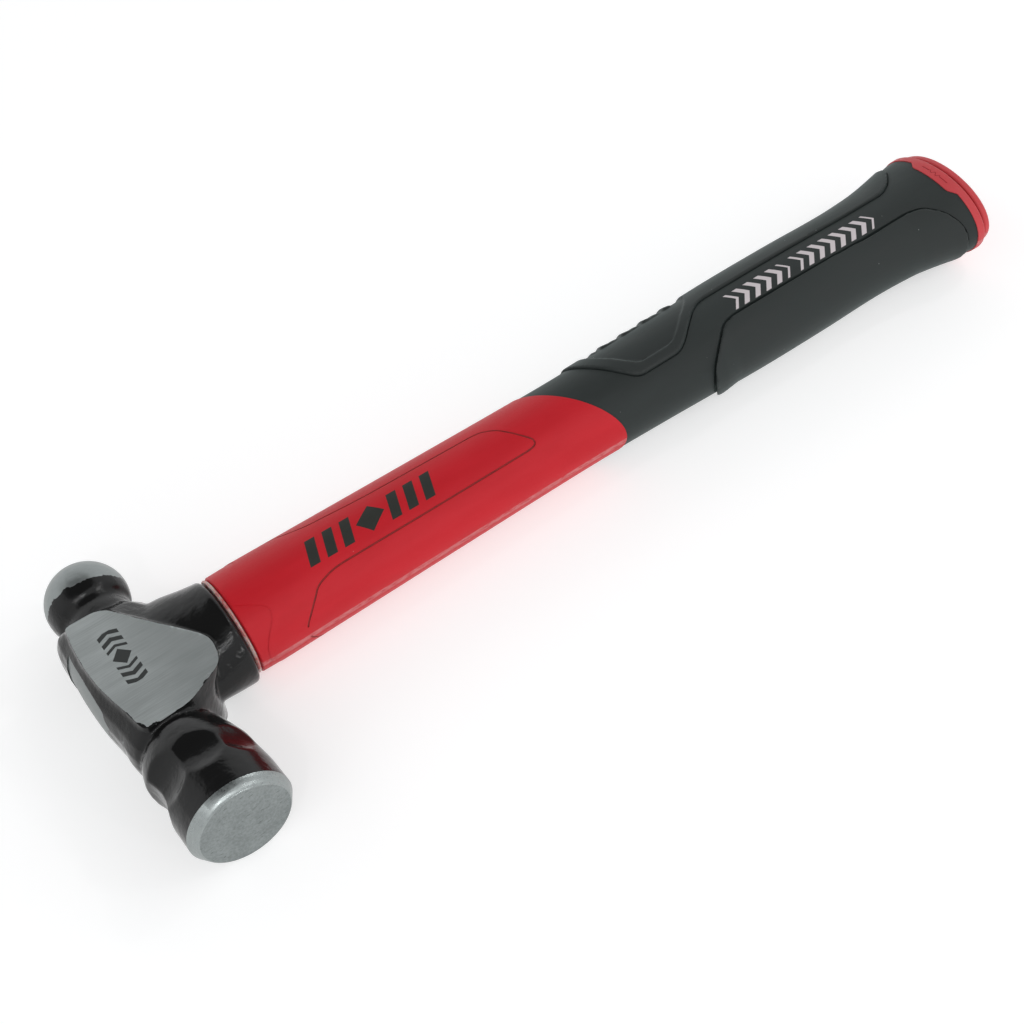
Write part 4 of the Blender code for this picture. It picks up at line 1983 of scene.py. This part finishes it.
    def grip_room(
        self, shift: float, inset: float, material: bpy.types.Material
    ) -> bpy.types.Object:
        """Makes the room that the grip takes from the jacket.

        Args:
            shift: How far the slanted colour join is moved along X.
            inset: Thickness of the room's wall.
            material: Its material.

        Returns:
            The solid.
        """
        base = self.join_x + shift
        far, reach = self.flange_end + 40.0, 40.0
        outline = (
            (base - self.join_slope * reach, -reach),
            (far, -reach),
            (far, reach),
            (base + self.join_slope * reach, reach),
        )
        room = make_object("room", prism(outline, -reach, reach), material)
        inside = self.profile.run(90.0, self.flange_end + 60.0, 3.0, -inset)
        carve(room, loft(inside, MOULDED))
        carve(room, block((self.grip_end, -60.0, -60.0), (self.grip_end + 80.0, 60.0, 60.0)))
        tab = [(self.grip_end + x, y) for x, y in self.tab]
        carve(room, prism(rounded(tab, 1.2), 0.0, 60.0))
        return room

    def grooves(self) -> list[list[Vector]]:
        """Lays the jacket's groove on its upper and its lower side.

        Returns:
            The two paths.
        """
        paths: list[list[Vector]] = []
        corners = rounded(self.tongue, 4.0, 5)[6:-6]
        for side in (1.0, -1.0):
            path = []
            for (x, angle), (next_x, next_angle) in zip(corners, corners[1:]):
                along, around = next_x - x, next_angle - angle
                parts = max(1, round(hypot(along, around * 0.28) / 1.6))
                for part in range(parts):
                    share = part / parts
                    spot = self.on_skin(x + along * share, angle + around * share)
                    path.append(Vector((spot.x, spot.y, spot.z * side)))
            paths.append(path)
        return paths

    def build_jacket(
        self, red: bpy.types.Material, deep: bpy.types.Material
    ) -> bpy.types.Object:
        """Builds the red jacket with its flange at the butt.

        Args:
            red: Material of its skin.
            deep: Material of its grooves, red darkened as painted shade.

        Returns:
            The piece.
        """
        first = self.profile.at(self.jacket_x)
        last = self.profile.at(self.flange_end)
        sections = [
            first.grown(-1.0),
            first.grown(-0.45, self.jacket_x + 0.15),
            first.grown(-0.1, self.jacket_x + 0.5),
            *self.profile.run(self.jacket_x + 1.0, self.flange_end - 0.9, 1.6),
            last.grown(-0.15, self.flange_end - 0.45),
            last.grown(-0.45, self.flange_end - 0.15),
            last.grown(-1.0, self.flange_end),
        ]
        jacket = make_object("handle_jacket", loft(sections, MOULDED), red)
        for outline in self.nail_outlines:
            carve(jacket, self.inlay(outline, -self.nail_depth, lambda x: 4.0, red, 1.2))
        carve(jacket, self.grip_room(0.0, self.wall + self.gap, red))
        # The grooves' faces take the red darkened as painted shade.
        for path in self.grooves():
            carve(jacket, sweep(path, self.groove), Cut.TAKE, deep)
        bore = [Section(20.0, *self.core), Section(320.0, *self.core)]
        carve(jacket, loft(bore, BORED))
        return finish_piece(jacket, self.placement.handle(), Slot.RED, ["jacket"])

    def build_grip(self, black: bpy.types.Material) -> bpy.types.Object:
        """Builds the black sleeve with rooms for both pads.

        Args:
            black: Its material.

        Returns:
            The piece.
        """
        sections = self.profile.run(110.0, self.grip_end + 10.0, 1.6, -self.step)
        grip = make_object("grip_sleeve_skin", loft(sections, MOULDED), black)
        carve(grip, self.grip_room(self.gap, self.wall, black), Cut.KEEP)
        for outline, width in ((self.palm, self.palm_groove), (self.thumb, self.thumb_groove)):
            wide = widened(outline, width)
            carve(grip, self.inlay(wide, -self.step - self.pad_depth, lambda x: 5.0, black))
        return finish_piece(grip, self.placement.handle(), Slot.GRIP, ["grip_sleeve"])

    def pad_floor(self) -> float:
        """Gives the height of the pads' inside over the handle's skin."""
        return -self.step - self.pad_depth + self.pad_gap

    def build_palm(self, black: bpy.types.Material) -> bpy.types.Object:
        """Builds the palm pad, which stands proud at both ends.

        Args:
            black: Its material.

        Returns:
            The piece.
        """

        def height(x: float) -> float:
            """Gives the pad's height over the handle's skin, which rises at both ends.

            Args:
                x: Distance along the handle.

            Returns:
                The height.
            """
            front = min(1.0, max(0.0, 1.6 - 1.6 * abs(x - 199.0) / 9.0))
            back = max(0.0, 1.0 - abs(x - 299.0) / 14.0)
            return 0.25 + 0.8 * front + 0.6 * back

        pad = self.inlay(self.palm, self.pad_floor(), height, black)
        pad.name = "palm_pad_skin"
        reskin(pad, 0.45, 5)
        return finish_piece(pad, self.placement.handle(), Slot.PAD, ["palm_pad"])

    def build_thumb(self, black: bpy.types.Material) -> bpy.types.Object:
        """Builds the thumb pad with its hollow and the steps across it.

        Args:
            black: Its material.

        Returns:
            The piece.
        """

        def height(x: float) -> float:
            """Gives the pad's height over the handle's skin, which rises at its far end."""
            return 0.5 + 0.4 * max(0.0, 1.0 - abs(x - 297.0) / 14.0)

        def rib(x: float) -> float:
            """Gives the height of the steps, in pairs of one tall and one low.

            Args:
                x: Distance along the handle.

            Returns:
                The height.
            """
            share = ((x - self.rib_start) % self.rib_pitch) / self.rib_pitch
            tooth = 1.0 - 1.2 * share if share < 0.5 else 1.3 - 1.3 * share
            return -self.hollow_depth + 0.95 * tooth

        pad = self.inlay(self.thumb, self.pad_floor(), height, black)
        pad.name = "thumb_pad_skin"
        carve(pad, self.inlay(self.hollow, -self.hollow_depth, lambda x: 5.0, black))
        steps = self.inlay(self.ribs, self.pad_floor(), rib, black, 1.0, 0.4)
        bm = bmesh.new()
        for item in (pad, steps):
            bm.from_mesh(item.data)
        bm.to_mesh(pad.data)
        bm.free()
        bpy.data.objects.remove(steps)
        reskin(pad, 0.42, 5)
        return finish_piece(pad, self.placement.handle(), Slot.PAD, ["thumb_pad"])

    def build_plate(self, red: bpy.types.Material) -> bpy.types.Object:
        """Builds the butt's end plate with its plug.

        Args:
            red: Its material.

        Returns:
            The piece.
        """
        start, end, half_y, half_z = self.plate
        plug_y, plug_z, length = self.plug
        whole = Section(end, half_y, half_z)
        sections = [
            Section(start - length, plug_y, plug_z),
            Section(self.flange_end + 0.3, plug_y, plug_z),
            whole.grown(-1.2, self.flange_end + 0.4),
            whole.grown(-1.2, start),
            whole.grown(-0.3, start + 0.12),
            whole.grown(0.0, start + 0.5),
            whole.grown(0.0, end - 1.3),
            whole.grown(-0.25, end - 0.7),
            whole.grown(-0.8, end - 0.25),
            whole.grown(-1.8, end),
            whole.grown(-3.4, end),
            whole.grown(-3.8, end - 0.4),
        ]
        plate = make_object("butt_end_plate", loft(sections, MOULDED), red)
        return finish_piece(plate, self.placement.handle(), Slot.RED, ["butt_plug"])

    def build_bead(self, resin: bpy.types.Material) -> bpy.types.Object:
        """Builds the bead of resin squeezed out between the barrel and the jacket.

        Args:
            resin: Its material.

        Returns:
            The piece.
        """
        start, end = self.bead_x, self.jacket_x - 0.1
        here = self.profile.at(start)
        sections = [
            here.grown(-1.6, start),
            here.grown(-0.55, start + 0.25),
            here.grown(-0.3, (start + end) / 2),
            here.grown(-0.5, end - 0.25),
            here.grown(-1.2, end),
        ]
        bead = make_object("resin_squeeze", loft(sections, MOULDED), resin)
        carve(bead, loft([Section(20.0, *self.core), Section(40.0, *self.core)], BORED))
        return finish_piece(bead, self.placement.handle(), Slot.RESIN, ["resin_bead"])

    def build(self) -> list[bpy.types.Object]:
        """Builds and dresses every piece of the handle.

        Returns:
            The pieces.
        """
        place = self.placement.handle()
        red = RedPlastic().make(place, True)
        butt_red = RedPlastic().make(place, False)
        resin = Resin().make(place)
        pad_black = Rubber("pad_rubber", (0.0185, 0.0222, 0.0215)).make(place)
        grip_black = Rubber("grip_rubber", mark_box=(-6.2, 0.6)).make(place)
        pieces = [
            self.build_jacket(red, GrooveShadeRed().make(place)),
            self.build_grip(grip_black),
            self.build_palm(pad_black),
            self.build_thumb(pad_black),
            self.build_plate(butt_red),
            self.build_bead(resin),
        ]
        for node, finish in (("socket_resin", resin), ("core_rod", FibreRod().make(place))):
            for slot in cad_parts[node].material_slots:
                slot.material = finish
            LOG.info("%s: kept from the CAD", node)
        return pieces


# ---------------------------------------------------------------- Stage


@dataclass
class Stage:
    """Floor, light and camera.

    Attributes:
        placement: Where the hammer stands.
        azimuth: Direction of the view round the hammer, in radians.
        elevation: Height of the view, in radians.
        roll: Roll of the camera, in radians.
        focal: Focal length in image widths.
        target: Point looked at, in millimetres.
        distance: Distance of the camera, in millimetres.
        ceiling: Direction of the dark ceiling's middle.
        levels: Brightness of the surroundings, by how far they face the ceiling's middle.
        strength: Strength of the surroundings.
        lamps: Places of the small lamps, in metres.
        lamp_size: Width of each lamp, in metres.
        lamp_power: Power of each lamp, in watts.
        floor_level: Lightness of the floor.
        floor_glow: Strength of the floor's own light.
    """

    placement: Placement
    azimuth: float = -0.485539
    elevation: float = 0.854849
    roll: float = -0.178328
    focal: float = 1719.832 / 1024
    target: Vector3 = (117.526, -17.294, 0.0)
    distance: float = 518.550
    ceiling: Vector3 = (0.0, 0.2, 1.0)
    levels: tuple[Point, ...] = ((0.0, 0.67), (0.5, 0.84), (0.79, 0.78), (0.81, 0.13), (1.0, 0.09))
    strength: float = 1.25
    lamps: tuple[Vector3, ...] = (
        (0.66, 0.0, 0.75),
        (0.14, -0.9, 0.35),
        (-0.5, -0.55, 0.67),
        (-0.24, -0.57, 0.79),
        (0.54, -0.51, 0.67),
    )
    lamp_size: float = 0.05
    lamp_power: float = 0.4
    floor_level: float = 0.62
    floor_glow: float = 0.52

    def place_camera(self) -> None:
        """Makes the camera and gives it to the scene."""
        back = Vector(
            (
                sin(self.azimuth) * cos(self.elevation),
                -cos(self.azimuth) * cos(self.elevation),
                sin(self.elevation),
            )
        )
        level = Vector((cos(self.azimuth), sin(self.azimuth), 0.0))
        up = back.cross(level)
        right = level * cos(self.roll) + up * sin(self.roll)
        top = up * cos(self.roll) - level * sin(self.roll)
        spot = self.placement.head() @ (Vector(self.target) + back * self.distance)
        data = bpy.data.cameras.new("view")
        data.sensor_width = 36.0
        data.lens = 36.0 * self.focal
        data.clip_start = 0.01
        camera = bpy.data.objects.new("view", data)
        bpy.context.scene.collection.objects.link(camera)
        turn = Matrix((right, top, back)).transposed().to_4x4()
        camera.matrix_world = Matrix.Translation(spot) @ turn
        bpy.context.scene.camera = camera

    def lay_floor(self) -> None:
        """Lays the pale floor."""
        bm = bmesh.new()
        bmesh.ops.create_grid(bm, x_segments=1, y_segments=1, size=3.0)
        bmesh.ops.translate(bm, verts=bm.verts, vec=(0.0, 0.0, -0.0003))
        material = bpy.data.materials.new("floor")
        material.use_nodes = True
        shader = material.node_tree.nodes["Principled BSDF"]
        level = self.floor_level
        shader.inputs["Base Color"].default_value = (level, level, level, 1.0)
        shader.inputs["Roughness"].default_value = 0.9
        shader.inputs["Emission Color"].default_value = (1.0, 1.0, 1.0, 1.0)
        shader.inputs["Emission Strength"].default_value = self.floor_glow
        floor = make_object("floor", bm, material)

    def add_lamp(self, name: str, spot: Vector3) -> None:
        """Adds a small square lamp that faces the hammer.

        Args:
            name: Its name.
            spot: Its place, in metres.
        """
        data = bpy.data.lights.new(name, "AREA")
        data.shape = "RECTANGLE"
        data.size = data.size_y = self.lamp_size
        data.energy = self.lamp_power
        lamp = bpy.data.objects.new(name, data)
        lamp.location = spot
        lamp.rotation_euler = Vector(spot).to_track_quat("Z", "Y").to_euler()
        bpy.context.scene.collection.objects.link(lamp)

    def light(self) -> None:
        """Lights the hammer from all round, with a dark ceiling and five small lamps."""
        world = bpy.data.worlds.new("studio")
        bpy.context.scene.world = world
        world.use_nodes = True
        tree = world.node_tree
        background = tree.nodes["Background"]
        coordinates = tree.nodes.new("ShaderNodeTexCoord")
        height = tree.nodes.new("ShaderNodeVectorMath")
        height.operation = "DOT_PRODUCT"
        height.inputs[1].default_value = Vector(self.ceiling).normalized()
        ramp = tree.nodes.new("ShaderNodeValToRGB")
        tree.links.new(coordinates.outputs["Generated"], height.inputs[0])
        tree.links.new(height.outputs["Value"], ramp.inputs["Fac"])
        tree.links.new(ramp.outputs["Color"], background.inputs["Color"])
        while len(ramp.color_ramp.elements) < len(self.levels):
            ramp.color_ramp.elements.new(0.5)
        for element, (position, level) in zip(ramp.color_ramp.elements, self.levels):
            element.position = position
            element.color = (level * 0.99, level, level * 1.01, 1.0)
        background.inputs["Strength"].default_value = self.strength
        for number, spot in enumerate(self.lamps):
            self.add_lamp(f"lamp_{number}", spot)
        bpy.context.scene.view_settings.view_transform = "Standard"

    def build(self) -> None:
        """Builds the stage."""
        self.place_camera()
        self.lay_floor()
        self.light()
        LOG.info("stage: floor, light and camera")


def write_sizes() -> None:
    """Updates the view layer."""
    bpy.context.view_layer.update()


def main() -> None:
    """Builds the hammer round its frame."""
    logging.basicConfig(level=logging.INFO, format="%(message)s")
    placement = Placement.from_head(MOUTH_X, FACE_Y)
    Stage(placement).build()
    head = Head(placement).build()
    handle = Handle(placement).build()
    LOG.info("%d pieces made", 1 + len(handle))
    LOG.info("%s carries the striking face", head.name)
    write_sizes()


if __name__ == "__main__":
    main()
